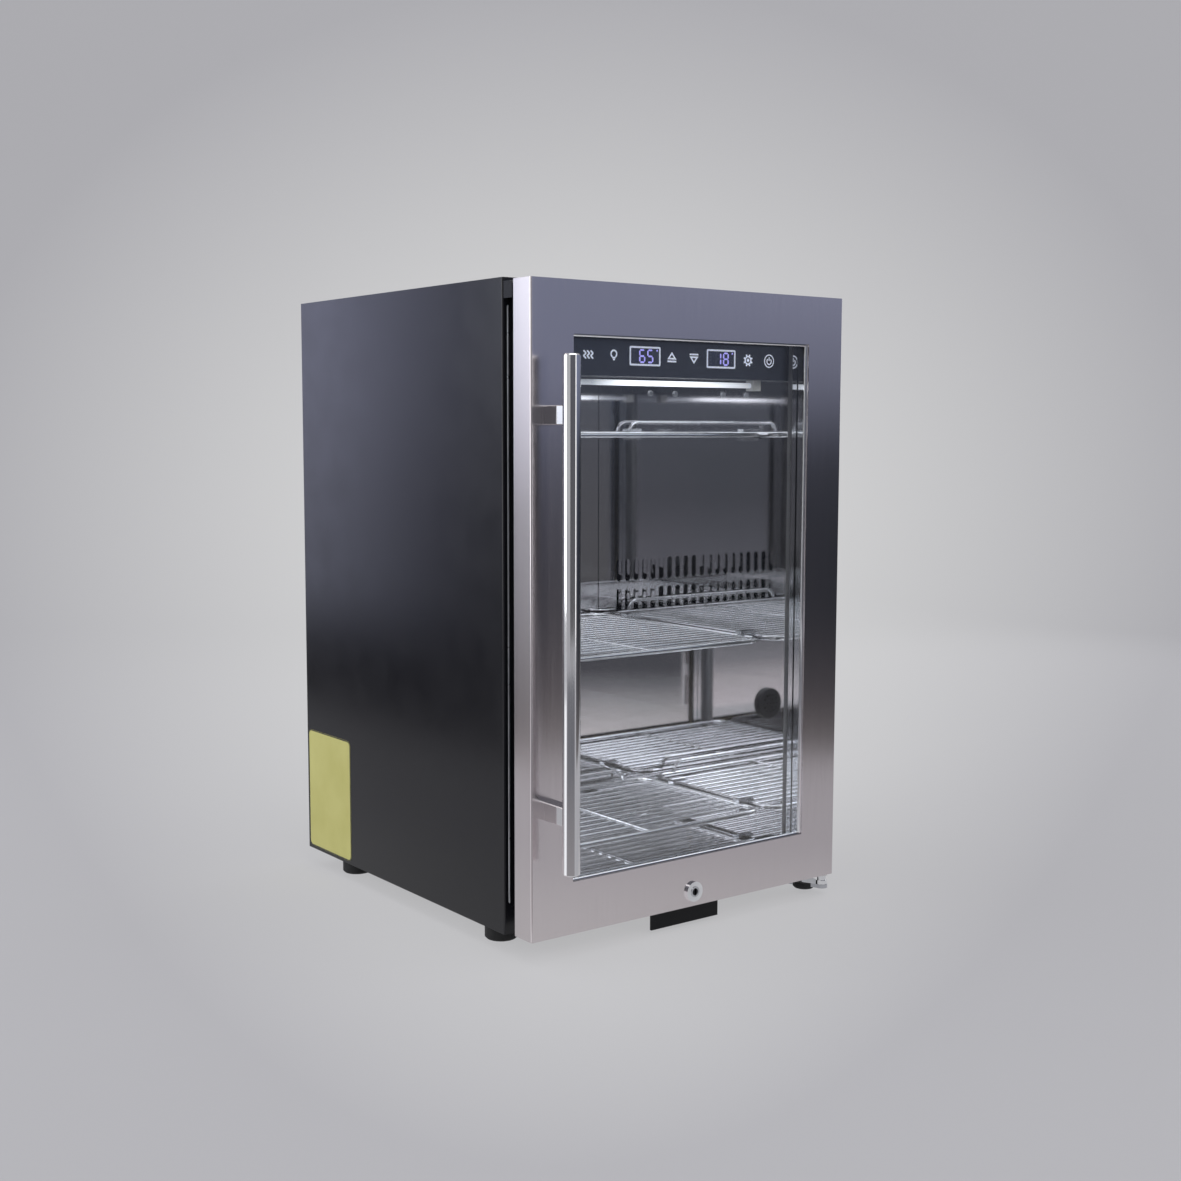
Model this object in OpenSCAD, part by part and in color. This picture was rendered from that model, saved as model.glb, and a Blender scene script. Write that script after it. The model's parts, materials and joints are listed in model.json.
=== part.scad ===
// Glass-door towel cabinet: an insulated case with a stepped steel liner, air heating and
// cooling behind a slotted panel, three wire shelves and a framed glass door with a lock.
// Millimetres, X to the right, Y to the back, Z up from the floor.

/* [Case] */
// Outside width of the case and of the door
case_w = 430; // [410:1:500]
// Height of the case above its feet
case_h = 673; // [655:1:760]
// Depth of the case behind the door
case_d = 440; // [430:1:500]
// Thickness of the painted outer sheets
sheet_t = 1; // [0.8:0.1:1.4]
// Thickness of the base pan
pan_t = 1.5; // [1:0.1:2]
// Width of the flange folded in at the back
rear_flange_w = 12; // [11:1:16]
// How far the rear flange sits inside the rear edge
rear_recess = 3; // [2.5:0.5:8]
// Outside radius of the folds at the front edges
fold_r = 2; // [1:0.5:4]

/* [Feet] */
// Height of the feet
foot_h = 21; // [20:1:40]
// Diameter of the feet
foot_d = 36; // [30:1:40]
// Foot centre from the side of the case
foot_side = 30; // [24:1:40]
// Front foot centre from the front of the case
foot_front = 51; // [50:1:80]
// Rear foot centre from the back of the case
foot_rear = 70; // [40:1:100]

/* [Insulated walls] */
// Side wall, outside of the case to inside of the liner
side_wall = 39; // [34:1:42]
// Floor wall, underside of the case to the liner floor
floor_wall = 49; // [44:1:55]
// Top wall, top of the case to the liner ceiling
top_wall = 44; // [38:1:48]
// Back wall, rear edge of the case to the liner back
back_wall = 45; // [38:1:48]
// Foam between the liner step and the machine bay
bay_foam = 38; // [30:1:44]

/* [Liner] */
// Thickness of the polished liner sheet
liner_t = 0.8; // [0.6:0.1:1.2]
// Width of the liner's front flange
liner_flange_w = 16; // [12:1:18]
// Depth of the step over the machine bay
step_d = 133; // [125:1:145]
// Height of the step above the liner floor
step_h = 216; // [208:1:222]
// Diameter of the vent disc on the step
vent_d = 42; // [36:1:50]
// Vent disc left of the middle
vent_left = 46; // [0:1:100]
// Vent disc centre above the liner floor
vent_up = 96; // [60:1:140]

/* [Air panel] */
// Depth of the air space behind the slotted panel
plenum_d = 36; // [34:1:42]
// Air gap between the panel and the ceiling
air_gap = 25; // [15:1:40]
// Number of slots in a row
slot_count = 20; // [12:1:20]
// Distance between slots
slot_pitch = 14.8; // [12:0.2:15]
// Width of a slot
slot_w = 8.5; // [6:0.5:9.5]
// Height of a slot in the lower row
slot_low_h = 33; // [24:1:36]
// Height of a slot in the upper row
slot_high_h = 30; // [24:1:36]
// Lower row above the step
slot_rise = 9; // [6:1:20]
// Gap between the rows
slot_row_gap = 10; // [8:1:14]
// Tip diameter of the fan
fan_d = 72; // [60:1:78]
// Diameter of the fan shaft
fan_shaft_d = 4; // [3:0.5:6]

/* [Shelves] */
// Lower shelf above the liner floor
lower_shelf_up = 22; // [20:1:40]
// Middle shelf above the liner floor
middle_shelf_up = 227; // [226:1:240]
// Upper shelf above the liner floor
upper_shelf_up = 467; // [430:1:470]
// Diameter of the shelf frame wire
frame_wire_d = 6; // [5:0.5:7]
// Diameter of the deck wires
deck_wire_d = 4; // [3:0.5:4.5]
// Distance between deck wires
deck_pitch = 16; // [12:1:32]
// Gap between shelf and side wall
shelf_side_gap = 5; // [4:0.5:6]
// Shelf front behind the case front
shelf_front = 25; // [24:1:40]
// Gap behind the shelves
shelf_back_gap = 10; // [8:1:20]
// Height of the rear stop above the deck
stop_h = 18; // [14:1:30]

/* [Door] */
// Thickness of the door
door_t = 32; // [30:1:40]
// Door bottom above the underside of the case
door_rise = 4; // [4:0.5:8]
// Door top below the top of the case
door_drop = 3; // [3:0.5:6]
// Width of the door's stiles
stile_w = 52; // [48:1:60]
// Width of the top rail
top_rail_w = 53; // [46:1:70]
// Width of the bottom rail
bottom_rail_w = 55; // [50:1:70]
// Thickness of the steel skin
skin_t = 1; // [0.8:0.1:1.4]
// Depth of the skin's return round the window
window_return = 5; // [3:0.5:6]
// Outside radius of the skin's folds at the sides
skin_r = 1.5; // [1:0.5:3]
// Thickness of each glass pane
glass_t = 4; // [3:0.5:4]
// Gap between the panes
glass_gap = 12; // [9:0.5:12]
// How far the panes reach behind the frame
glass_lap = 10; // [8:1:12]
// Gap between the door and the case
door_gap = 17; // [15:1:20]
// Gasket set in from the door's edge
gasket_inset = 18; // [18:1:20]
// Width of the gasket
gasket_w = 16; // [14:1:17]

/* [Handle] */
// Diameter of the handle bar
handle_d = 18; // [16:1:24]
// Length of the handle bar
handle_len = 516; // [440:1:600]
// Bar axis from the door's left edge
handle_edge = 24; // [22:1:30]
// Bar axis in front of the door
handle_offset = 35; // [30:1:50]
// Width of the posts
post_w = 16; // [12:1:16]
// Height of the posts
post_h = 19; // [14:1:24]
// Distance between the posts
post_spacing = 398; // [300:1:420]

/* [Hinges] */
// Hinge axis from the door's right edge
hinge_side = 10; // [10:0.5:12]
// Hinge axis behind the door's front face
hinge_back = 8; // [8:0.5:10]
// Diameter of the hinge pins
pin_d = 8; // [6:0.5:8]
// Thickness of the lower hinge plate
plate_t = 4.5; // [3:0.5:5]
// Hinge arm below the underside of the case
hinge_drop = 8; // [6:0.5:9]
// Thickness of the upper hinge bracket
bracket_t = 2; // [1.5:0.1:2]
// Diameter of the foot under the lower hinge
hinge_foot_d = 26; // [20:1:28]
// Foot under the lower hinge, above the floor
hinge_foot_up = 5.5; // [0:0.5:6]

/* [Lock] */
// Lock axis above the door's bottom edge
lock_up = 16.5; // [15:0.5:18]
// Diameter of the lock's front ring
bezel_d = 22; // [20:1:24]
// Diameter of the lock barrel
barrel_d = 18; // [16:1:19]
// Diameter of the turning plug
plug_d = 12; // [10:1:13]
// Length of the barrel behind the door face
barrel_len = 14; // [12:1:15]
// Reach of the cam from its axis
cam_reach = 29; // [27:1:31]
// Width of the cam
cam_w = 14; // [12:1:15]
// Thickness of the cam
cam_t = 2.5; // [2:0.5:3]
// Width of the lock keeper
keeper_w = 95; // [90:1:110]
// Thickness of the lock keeper
keeper_t = 2.5; // [2:0.5:3]

/* [Controls and lamp] */
// Height of the control panel
fascia_h = 51; // [48:1:60]
// Thickness of the control panel
fascia_t = 3; // [2:0.5:4]
// Depth of the control housing
housing_d = 42; // [36:1:60]
// Width of each display
display_w = 43; // [36:1:46]
// Height of each display
display_h = 21; // [16:1:24]
// Left display, left of the middle
display_left = 33; // [30:1:60]
// Right display, right of the middle
display_right = 75; // [60:1:100]
// Diameter of the lamp tube
lamp_d = 6; // [5:0.5:9]
// Length of the lamp tube between its sockets
lamp_len = 270; // [200:1:290]

/* [Machine bay] */
// Diameter of the compressor
compressor_d = 112; // [90:1:114]
// Height of the compressor shell
compressor_h = 140; // [110:1:150]
// Bore of the cord gland
gland_bore_d = 7.4; // [6:0.2:9]

/* [Hidden] */
$fn = 48;

// Clearances
over = 1;
fit = 0.3;
run_fit = 0.05;
seam = 1;

// Levels and planes
half_w = case_w / 2;
z_case = foot_h;
z_top = z_case + case_h;
handle_reach = handle_offset + handle_d / 2;
total_d = handle_reach + door_t + door_gap + case_d;
y_door = handle_reach - total_d / 2;
y_case = y_door + door_t + door_gap;
y_back = y_case + case_d;
y_flange = y_back - rear_recess - sheet_t;
y_sheet_back = y_flange - sheet_t;
z_pan = z_case + pan_t;
field_edge = 24;
field_low = 30;
field_high = 48;

// Inside of the liner
half_in = half_w - side_wall;
z_floor = z_case + floor_wall;
z_ceil = z_top - top_wall;
y_liner = y_back - back_wall;
y_step = y_liner - step_d;
z_step = z_floor + step_h;
y_air = y_liner - plenum_d;
side_flange_w = side_wall - liner_flange_w - seam;
floor_flange_w = floor_wall - liner_flange_w - seam;
top_flange_w = top_wall - liner_flange_w - seam;

// Machine bay
y_bay = y_step + liner_t + bay_foam;
z_bay = z_step - liner_t - bay_foam;
y_machine = (y_bay + sheet_t + y_sheet_back) / 2;
compressor_x = -70;
mount_h = 12;
mount_d = 22;
compressor_plate_t = 3;
z_compressor = z_pan + mount_h + compressor_plate_t;
compressor_round = compressor_d / 4 - 2;
compressor_seam = 3;
compressor_plate_w = 150;
compressor_plate_d = 84;
mount_edge = 14;
pipe_inset = 22;
suction_d = 9;
discharge_d = 6;
relay_w = 34;
relay_d = 44;
relay_h = 56;
relay_seat = 8;
gland_x = 130;
gland_up = 50;
gland_neck_d = 14;
gland_flange_d = 19;
gland_flange_t = 3;
louvre_rows = 7;
louvre_pitch = 13;
louvre_h = 5;
louvre_w = 150;
louvre_gap = 40;
louvre_top = 28;
hood_lip = 1;
hood_out = 2.6;

// Screws
m4_d = 4;
m4_head_d = 8;
m4_head_h = 2;
m4_hole_d = 4.4;
m5_d = 5;
m5_head_d = 9;
m5_head_h = 3;
m5_hole_d = 5.4;
screw_bite = 6;
foot_bore_d = 12;
foot_bore_h = 11;
foot_chamfer = 2;
cover_screw_edge = 20;
cover_screw_z = [z_pan + cover_screw_edge, z_bay - cover_screw_edge];
air_post_d = 9;
air_post_x = [-half_in / 2, -half_in / 4, half_in / 4, half_in / 2];
foot_x = half_w - foot_side;
foot_y = [y_case + foot_front, y_back - foot_rear];

// Air path
air_panel_t = 1;
air_return = 12;
fan_z = z_step + slot_rise + slot_low_h + slot_row_gap / 2;
fan_bracket_w = 64;
fan_bracket_t = 1.5;
fan_motor_d = 38;
fan_motor_h = 15;
fan_hub_d = 22;
fan_hub_h = 9;
fan_gap = 1;
fan_blades = 5;
fan_pitch_angle = 32;
fan_blade_t = 1.4;
fan_blade_w = 28;
y_motor = y_liner - fan_bracket_t;
y_hub = y_motor - fan_motor_h - fan_gap;
heater_d = 7;
heater_half = 110;
heater_rise = 112;
heater_loop = 26;
heater_clip_x = 70;
heater_clip_t = 2;
y_heater = y_liner - plenum_d / 2;
evap_fins = 15;
evap_pitch = 16;
evap_fin_t = 1;
evap_d = 26;
evap_rise = 158;
evap_top_gap = 66;
air_post_over = 8;
air_post_z = z_ceil - evap_top_gap + air_post_over;
evap_h = z_ceil - evap_top_gap - z_step - evap_rise;
evap_tube_d = 8;
evap_pass_pitch = 34;
evap_passes = floor(evap_h / evap_pass_pitch);
vent_t = 6;
vent_hole_d = 3;
vent_ring_pitch = 6;

// Controls and lamp
side_fit = 0.5;
fascia_back = 2;
y_fascia = y_case + fascia_back;
z_fascia = z_ceil - fascia_h;
y_housing = y_fascia + fascia_t;
housing_t = 2;
display_up = 22;
display_body_d = 8;
display_rim = 3;
display_sink = 0.4;
board_t = 1.6;
board_h = 34;
board_w = 290;
board_boss_d = 6;
socket_w = 12;
socket_d = 12;
socket_h = 12;
socket_hold = 8;
lamp_back = 16;
y_lamp = y_housing + lamp_back;
z_lamp = z_fascia - socket_h / 2;

// Shelves
rack_half = half_in - shelf_side_gap;
rack_side = rack_half - frame_wire_d / 2;
rack_corner = 20;
y_rack = y_case + shelf_front;
deep_rack = y_air - shelf_back_gap - y_rack;
short_rack = y_step - shelf_back_gap - y_rack;
stop_wire_d = 5;
stop_bend = 14;
stop_inset = 34;
clip_reach = 12;
clip_h = 14;
clip_d = 10;
clip_from_front = 42;
clip_from_back = 62;
shelf_levels = [z_floor + lower_shelf_up, z_floor + middle_shelf_up, z_floor + upper_shelf_up];
shelf_depths = [short_rack, deep_rack, deep_rack];

// Door, measured from its front face and bottom edge
z_door = z_case + door_rise;
door_h = case_h - door_rise - door_drop;
skin_short = 2;
skin_d = door_t - skin_short;
win_half = half_w - stile_w;
win_bottom = bottom_rail_w;
win_top = door_h - top_rail_w;
glass_half = win_half + glass_lap;
glass_bottom = win_bottom - glass_lap;
glass_top = win_top + glass_lap;
glass_back = window_return + 2 * glass_t + glass_gap;
spacer_w = 7;
door_liner_lap = 3;
gasket_line = gasket_inset + gasket_w / 2;
gasket_dart_w = 5.4;
gasket_dart_d = 3.6;
gasket_foot_d = 3;
gasket_bellows_w = 9;
gasket_head_d = 6;
gasket_head_w = gasket_w - 2;
gasket_back = door_t + door_gap - fit;

// Handle
bar_x = handle_edge - half_w;
bar_chamfer = 1.5;
post_chamfer = 0.8;
post_screw_d = 6;
post_screw_hole = 6.4;
post_screw_head_d = 11;
post_screw_head_h = 4;
post_screw_reach = 18;
post_pocket_d = 13;
post_up = [(door_h - post_spacing) / 2, (door_h + post_spacing) / 2];

// Hinges
pin_x = half_w - hinge_side;
y_pin = y_door + hinge_back;
hinge_round = hinge_back - skin_t;
pin_reach = 12;
bush_wall = 2;
bush_d = pin_d + 2 * bush_wall;
bush_len = 14;
bush_flange_w = 3;
bush_flange_d = pin_d + 2 * bush_flange_w;
bush_flange_t = 1.5;
shoulder_w = 1;
shoulder_d = pin_d + 2 * shoulder_w;
boss_w = 2.5;
boss_d = pin_d + 2 * boss_w;
boss_h = 4.5;
plate_edge = 2;
plate_w = 60;
plate_back = 28;
plate_front = 6;
arm_w = 39;
z_arm_top = z_case - hinge_drop;
z_arm = z_arm_top - plate_t;
plate_screw_edge = 10;
plate_screws = [half_w - plate_w + plate_screw_edge, half_w - plate_edge - plate_screw_edge];
plate_screw_back = 18;
hinge_foot_left = 9;
hinge_foot_back = 20;
tongue_cover = 1;
tongue_gap = 1;
tongue_side = 0.5;
tongue_neck = 2;
tongue_flare = 5;
tongue_tip = 22;
tongue_round = hinge_round - tongue_side;
tongue_corner = norm([hinge_side, hinge_back]);
pocket_h = tongue_cover + bracket_t + tongue_gap;
z_tongue = z_case + door_rise + door_h - tongue_cover;
bracket_leg_h = 44;
bracket_gap = 2;
bracket_leg_x = half_w - gasket_inset + bracket_gap;
bracket_leg_w = gasket_inset - 2 * bracket_gap;
bracket_screw_drop = [16, 34];
cap_edge = 1;
cap_w = bracket_leg_w + cap_edge;
cap_d = 15;
cap_h = 17;
cap_round = 5;

// Lock
lock_nut_d = 25;
lock_nut_t = 4;
bezel_t = 3;
plug_proud = 0.4;
key_w = 2;
key_h = 8;
key_depth = 7;
cam_square = 7;
cam_clear = 0.1;
cam_gap = 0.5;
y_cam = barrel_len + cam_gap;
cam_screw_d = 4;
cam_screw_bite = 8;
cam_head_d = 9;
cam_head_h = 2.5;
lock_pocket_left = 17;
lock_pocket_right = 34;
lock_pocket_top = 18;
slot_margin = 2;
keeper_left = 3.5;
keeper_lip_gap = 2.5;
keeper_drop = 16.5;
keeper_lip_top = 1;
keeper_foot_d = 32;
keeper_web_back = 8;
keeper_arm_in = 36;
keeper_arm_w = 50;
keeper_x = -keeper_left - keeper_w / 2;
keeper_arm_x = keeper_x + keeper_arm_in;
keeper_screw_x = 15;

// Box between two corners
module block(lo, hi) {
    translate(lo)
        cube(hi - lo);
}

// Box whose two upright front edges are rounded
module round_front(lo, hi, r) {
    block([lo[0] + r, lo[1], lo[2]], [hi[0] - r, hi[1], hi[2]]);
    block([lo[0], lo[1] + r, lo[2]], hi);
    for (x = [lo[0] + r, hi[0] - r])
        translate([x, lo[1] + r, lo[2]])
            cylinder(r = r, h = hi[2] - lo[2]);
}

// Round bar along X
module rod_x(d, x0, x1) {
    translate([x0, 0, 0])
        rotate([0, 90, 0])
            cylinder(d = d, h = x1 - x0);
}

// Round bar along Y
module rod_y(d, y0, y1) {
    translate([0, y0, 0])
        rotate([-90, 0, 0])
            cylinder(d = d, h = y1 - y0);
}

// Profile in Y and Z, extruded along X
module extrude_x(x0, x1) {
    translate([x0, 0, 0])
        rotate([90, 0, 90])
            linear_extrude(x1 - x0)
                children();
}

// Upright rectangular frame: outer half width, bottom, top, band width, front and back
module upright_frame(half, bottom, top, band, front, back) {
    difference() {
        block([-half, front, bottom], [half, back, top]);
        block([band - half, front - over, bottom + band], [half - band, back + over, top - band]);
    }
}

// Quarter bend of wire in the XY plane, from the +X side to the +Y side
module bend(r, d, angle = 90) {
    rotate_extrude(angle = angle)
        translate([r, 0])
            circle(d = d);
}

// Screw with its head below z = 0 and its shank up
module screw(d, len, head_d, head_h) {
    cylinder(d = d, h = len);
    translate([0, 0, -head_h])
        cylinder(d = head_d, h = head_h);
}

// Round can with rounded ends
module can(d, h, round_r) {
    rotate_extrude() {
        square([d / 2 - round_r, h]);
        translate([0, round_r])
            square([d / 2, h - 2 * round_r]);
        translate([d / 2 - round_r, round_r])
            circle(r = round_r);
        translate([d / 2 - round_r, h - round_r])
            circle(r = round_r);
    }
}

// Side profile of the liner's inside, grown outwards by a wall
module liner_profile(wall) {
    polygon([
        [y_case - over, z_floor - wall],
        [y_step + wall, z_floor - wall],
        [y_step + wall, z_step - wall],
        [y_liner + wall, z_step - wall],
        [y_liner + wall, z_ceil + wall],
        [y_case - over, z_ceil + wall]
    ]);
}

// Places of the base screws: under the feet, the keeper and the lower hinge plate
module at_feet() {
    for (x = [-foot_x, foot_x])
        for (y = foot_y)
            translate([x, y, z_case])
                children();
}

module at_keeper_screws() {
    for (x = [-keeper_screw_x, keeper_screw_x])
        translate([
            keeper_arm_x + keeper_arm_w / 2 + x,
            y_case + keeper_web_back + keeper_foot_d / 2,
            z_case
        ])
            children();
}

module at_plate_screws() {
    for (x = plate_screws)
        translate([x, y_case + plate_screw_back, z_case])
            children();
}

module at_base_screws() {
    at_feet()
        children();
    at_keeper_screws()
        children();
    at_plate_screws()
        children();
}

// Places of the cover screws in the rear flanges, and of the air panel screws
module at_cover_screws() {
    for (x = [-1, 1])
        for (z = cover_screw_z)
            translate([x * (half_w - rear_flange_w / 2), y_flange + sheet_t, z])
                children();
}

module at_air_posts() {
    for (x = air_post_x)
        translate([x, y_air, air_post_z])
            children();
}

// Places of the screws in the upper hinge bracket, on the case front
module at_bracket_screws() {
    for (drop = bracket_screw_drop)
        translate([bracket_leg_x + bracket_leg_w / 2, y_case, z_tongue - drop])
            children();
}

// Place of the screw in the blank cap
module at_cap_screw() {
    translate([cap_edge - half_w + cap_w / 2, y_case, z_door + door_h - cap_edge - cap_h / 2])
        children();
}

// Screw pockets in the foam behind the front flange and above the pan
module foam_pockets() {
    at_base_screws()
        cylinder(d = m5_hole_d, h = pan_t + screw_bite + over);
    at_bracket_screws()
        rod_y(m4_hole_d, 0, sheet_t + screw_bite + over);
    at_cap_screw()
        rod_y(m4_hole_d, 0, sheet_t + screw_bite + over);
}

// Painted side sheet with its folded front and rear flanges, left side
module side_sheet() {
    z_fold = z_top - sheet_t;
    intersection() {
        union() {
            block([-half_w, y_case, z_case], [sheet_t - half_w, y_back, z_top]);
            block([-half_w, y_case, z_case], [side_flange_w - half_w, y_case + sheet_t, z_fold]);
            block([-half_w, y_flange, z_case], [rear_flange_w - half_w, y_flange + sheet_t, z_fold]);
        }
        round_front([-half_w, y_case, z_case], [half_w, y_back, z_top], fold_r);
    }
}

module left_panel() {
    color("#2b2c31")
        difference() {
            side_sheet();
            at_cover_screws()
                rod_y(m4_hole_d, -2 * sheet_t, over);
            at_cap_screw()
                rod_y(m4_hole_d, -over, 2 * sheet_t);
        }
}

module right_panel() {
    color("#2b2c31")
        difference() {
            mirror([1, 0, 0])
                side_sheet();
            at_cover_screws()
                rod_y(m4_hole_d, -2 * sheet_t, over);
            at_bracket_screws()
                rod_y(m4_hole_d, -over, 2 * sheet_t);
        }
}

module top_panel() {
    x_in = half_w - sheet_t;
    x_front = half_w - side_flange_w;
    x_rear = half_w - rear_flange_w;
    z_fold = z_top - sheet_t;
    color("#2b2c31")
        intersection() {
            union() {
                block([-x_in, y_case, z_fold], [x_in, y_back, z_top]);
                block([-x_front, y_case, z_top - top_flange_w], [x_front, y_case + sheet_t, z_top]);
                block([-x_rear, y_flange, z_top - rear_flange_w], [x_rear, y_flange + sheet_t, z_top]);
            }
            round_front([-half_w, y_case, z_case], [half_w, y_back, z_top], fold_r);
        }
}

module back_panel() {
    x_out = half_w - sheet_t - fit;
    x_field = half_w - rear_flange_w - field_edge;
    z_out = z_top - sheet_t - fit;
    color("#3a3b40") {
        block([-x_out, y_sheet_back, z_bay], [x_out, y_flange, z_out]);
        block([-x_field, y_flange, z_bay + field_low], [x_field, y_flange + sheet_t, z_top - field_high]);
    }
}

module base_pan() {
    x_in = half_w - sheet_t;
    x_front = half_w - side_flange_w;
    color("#222327")
        difference() {
            union() {
                block([-x_in, y_case + sheet_t, z_case], [x_in, y_flange, z_pan]);
                block([-x_front, y_case, z_case], [x_front, y_case + sheet_t, z_case + floor_flange_w]);
            }
            at_base_screws()
                translate([0, 0, -over])
                    cylinder(d = m5_hole_d, h = pan_t + 2 * over);
        }
}

module bay_lining() {
    x_in = half_w - sheet_t - fit;
    color("#9a9da1") {
        block([-x_in, y_bay, z_pan], [x_in, y_bay + sheet_t, z_bay]);
        block([-x_in, y_bay, z_bay - sheet_t], [x_in, y_sheet_back, z_bay]);
    }
}

module insulation() {
    x_in = half_w - sheet_t;
    color("#e6d9a8")
        difference() {
            block([-x_in, y_case + sheet_t, z_pan], [x_in, y_sheet_back, z_top - sheet_t]);
            extrude_x(-half_in - liner_t, half_in + liner_t)
                liner_profile(liner_t);
            block([-half_w, y_bay, z_case], [half_w, y_back, z_bay]);
            foam_pockets();
        }
}

module inner_liner() {
    color("#c4c6c8") {
        difference() {
            union() {
                intersection() {
                    extrude_x(-half_in - liner_t, half_in + liner_t)
                        liner_profile(liner_t);
                    block([-half_w, y_case, z_case], [half_w, y_back, z_top]);
                }
                block(
                    [-half_in - liner_flange_w, y_case, z_floor - liner_flange_w],
                    [half_in + liner_flange_w, y_case + liner_t, z_ceil + liner_flange_w]
                );
            }
            extrude_x(-half_in, half_in)
                liner_profile(0);
        }
        at_air_posts()
            difference() {
                rod_y(air_post_d, air_panel_t, plenum_d + liner_t / 2);
                rod_y(m4_d + 2 * run_fit, 0, air_panel_t + screw_bite + over);
            }
    }
}

// One row of round-ended slots, cut through the air panel
module slot_row(bottom, h) {
    for (i = [0 : slot_count - 1])
        translate([(i - (slot_count - 1) / 2) * slot_pitch, y_air - over, bottom])
            rotate([90, 0, 0])
                mirror([0, 0, 1])
                    linear_extrude(air_panel_t + 2 * over) {
                        translate([-slot_w / 2, slot_w / 2])
                            square([slot_w, h - slot_w]);
                        translate([0, slot_w / 2])
                            circle(d = slot_w);
                        translate([0, h - slot_w / 2])
                            circle(d = slot_w);
                    }
}

module air_panel() {
    x_out = half_in - side_fit;
    top = z_ceil - air_gap;
    z_low = z_step + slot_rise;
    color("#bfc2c5")
        difference() {
            union() {
                block([-x_out, y_air, z_step], [x_out, y_air + air_panel_t, top]);
                block([-x_out, y_air, z_step], [air_panel_t - x_out, y_air + air_return, top]);
                block([x_out - air_panel_t, y_air, z_step], [x_out, y_air + air_return, top]);
            }
            slot_row(z_low, slot_low_h);
            slot_row(z_low + slot_low_h + slot_row_gap, slot_high_h);
            at_air_posts()
                rod_y(m4_hole_d, -over, air_panel_t + over);
        }
}

// Tubular heater: two passes, one return bend and two clips to the liner's back
module air_heater() {
    z_mid = z_step + heater_rise;
    color("#6b6660")
        translate([0, y_heater, z_mid]) {
            for (z = [-heater_loop / 2, heater_loop / 2])
                translate([0, 0, z])
                    rod_x(heater_d, -heater_half, heater_half);
            translate([heater_half, 0, 0])
                rotate([90, 0, 0])
                    rotate([0, 0, -90])
                        bend(heater_loop / 2, heater_d, 180);
            for (x = [-heater_clip_x, heater_clip_x])
                block(
                    [x - heater_clip_t / 2, 0, -heater_loop / 2 - heater_d],
                    [x + heater_clip_t / 2, y_liner - y_heater, heater_loop / 2 + heater_d]
                );
        }
}

// Finned coil: upright fins on the liner's back, with a tube passing through them
module evaporator() {
    half = (evap_fins - 1) * evap_pitch / 2;
    tube_half = half + evap_pitch / 2;
    y_tube = y_liner - evap_d / 2;
    first = z_step + evap_rise + (evap_h - (evap_passes - 1) * evap_pass_pitch) / 2;
    color("#b9bdc2") {
        for (i = [0 : evap_fins - 1])
            translate([i * evap_pitch - half, 0, 0])
                block(
                    [-evap_fin_t / 2, y_liner - evap_d, z_step + evap_rise],
                    [evap_fin_t / 2, y_liner, z_step + evap_rise + evap_h]
                );
        for (i = [0 : evap_passes - 1])
            translate([0, y_tube, first + i * evap_pass_pitch])
                rod_x(evap_tube_d, -tube_half, tube_half);
        for (i = [0 : evap_passes - 2])
            translate([(i % 2 == 0 ? 1 : -1) * tube_half, y_tube, first + (i + 0.5) * evap_pass_pitch])
                rotate([90, 0, 0])
                    rotate([0, 0, i % 2 == 0 ? -90 : 90])
                        bend(evap_pass_pitch / 2, evap_tube_d, 180);
    }
}

module fan_bracket() {
    half = fan_bracket_w / 2;
    color("#8c9094")
        block([-half, y_motor, fan_z - half], [half, y_liner, fan_z + half]);
}

module fan_motor() {
    color("#2a2a2c")
        translate([0, 0, fan_z]) {
            rod_y(fan_motor_d, y_motor - fan_motor_h, y_motor);
            rod_y(fan_shaft_d, y_hub - fan_hub_h, y_motor - fan_motor_h + over);
        }
}

module fan_rotor() {
    color("#4a4c50")
        translate([0, 0, fan_z])
            difference() {
                union() {
                    rod_y(fan_hub_d, y_hub - fan_hub_h, y_hub);
                    intersection() {
                        for (i = [0 : fan_blades - 1])
                            rotate([0, i * 360 / fan_blades, 0])
                                translate([0, y_hub - fan_hub_h / 2, 0])
                                    rotate([0, 0, fan_pitch_angle])
                                        block(
                                            [-fan_blade_w / 2, -fan_blade_t / 2, fan_hub_d / 4],
                                            [fan_blade_w / 2, fan_blade_t / 2, fan_d]
                                        );
                        rod_y(fan_d, y_hub - fan_hub_h, y_hub);
                    }
                }
                rod_y(fan_shaft_d + 2 * run_fit, y_hub - fan_hub_h - over, y_hub + over);
            }
}

// Round perforated cap on the front of the step
module vent_disc() {
    edge = vent_t / 3;
    color("#3c3d40")
        translate([-vent_left, y_step, z_floor + vent_up])
            rotate([90, 0, 0])
                difference() {
                    rotate_extrude() {
                        square([vent_d / 2, vent_t - edge]);
                        square([vent_d / 2 - edge, vent_t]);
                        translate([vent_d / 2 - edge, vent_t - edge])
                            circle(r = edge);
                    }
                    for (ring = [0 : 2])
                        for (i = [0 : max(ring * 6 - 1, 0)])
                            rotate([0, 0, i * 60 / max(ring, 1)])
                                translate([ring * vent_ring_pitch, 0, vent_t / 2])
                                    cylinder(d = vent_hole_d, h = vent_t);
                }
}

module at_displays() {
    for (x = [-display_left, display_right])
        translate([x, y_fascia, z_fascia + display_up])
            children();
}

module control_fascia() {
    x_out = half_in - side_fit;
    color("#141417")
        difference() {
            block([-x_out, y_fascia, z_fascia], [x_out, y_housing, z_ceil]);
            at_displays()
                block(
                    [-display_w / 2, -over, -display_h / 2],
                    [display_w / 2, fascia_t + over, display_h / 2]
                );
        }
}

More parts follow.
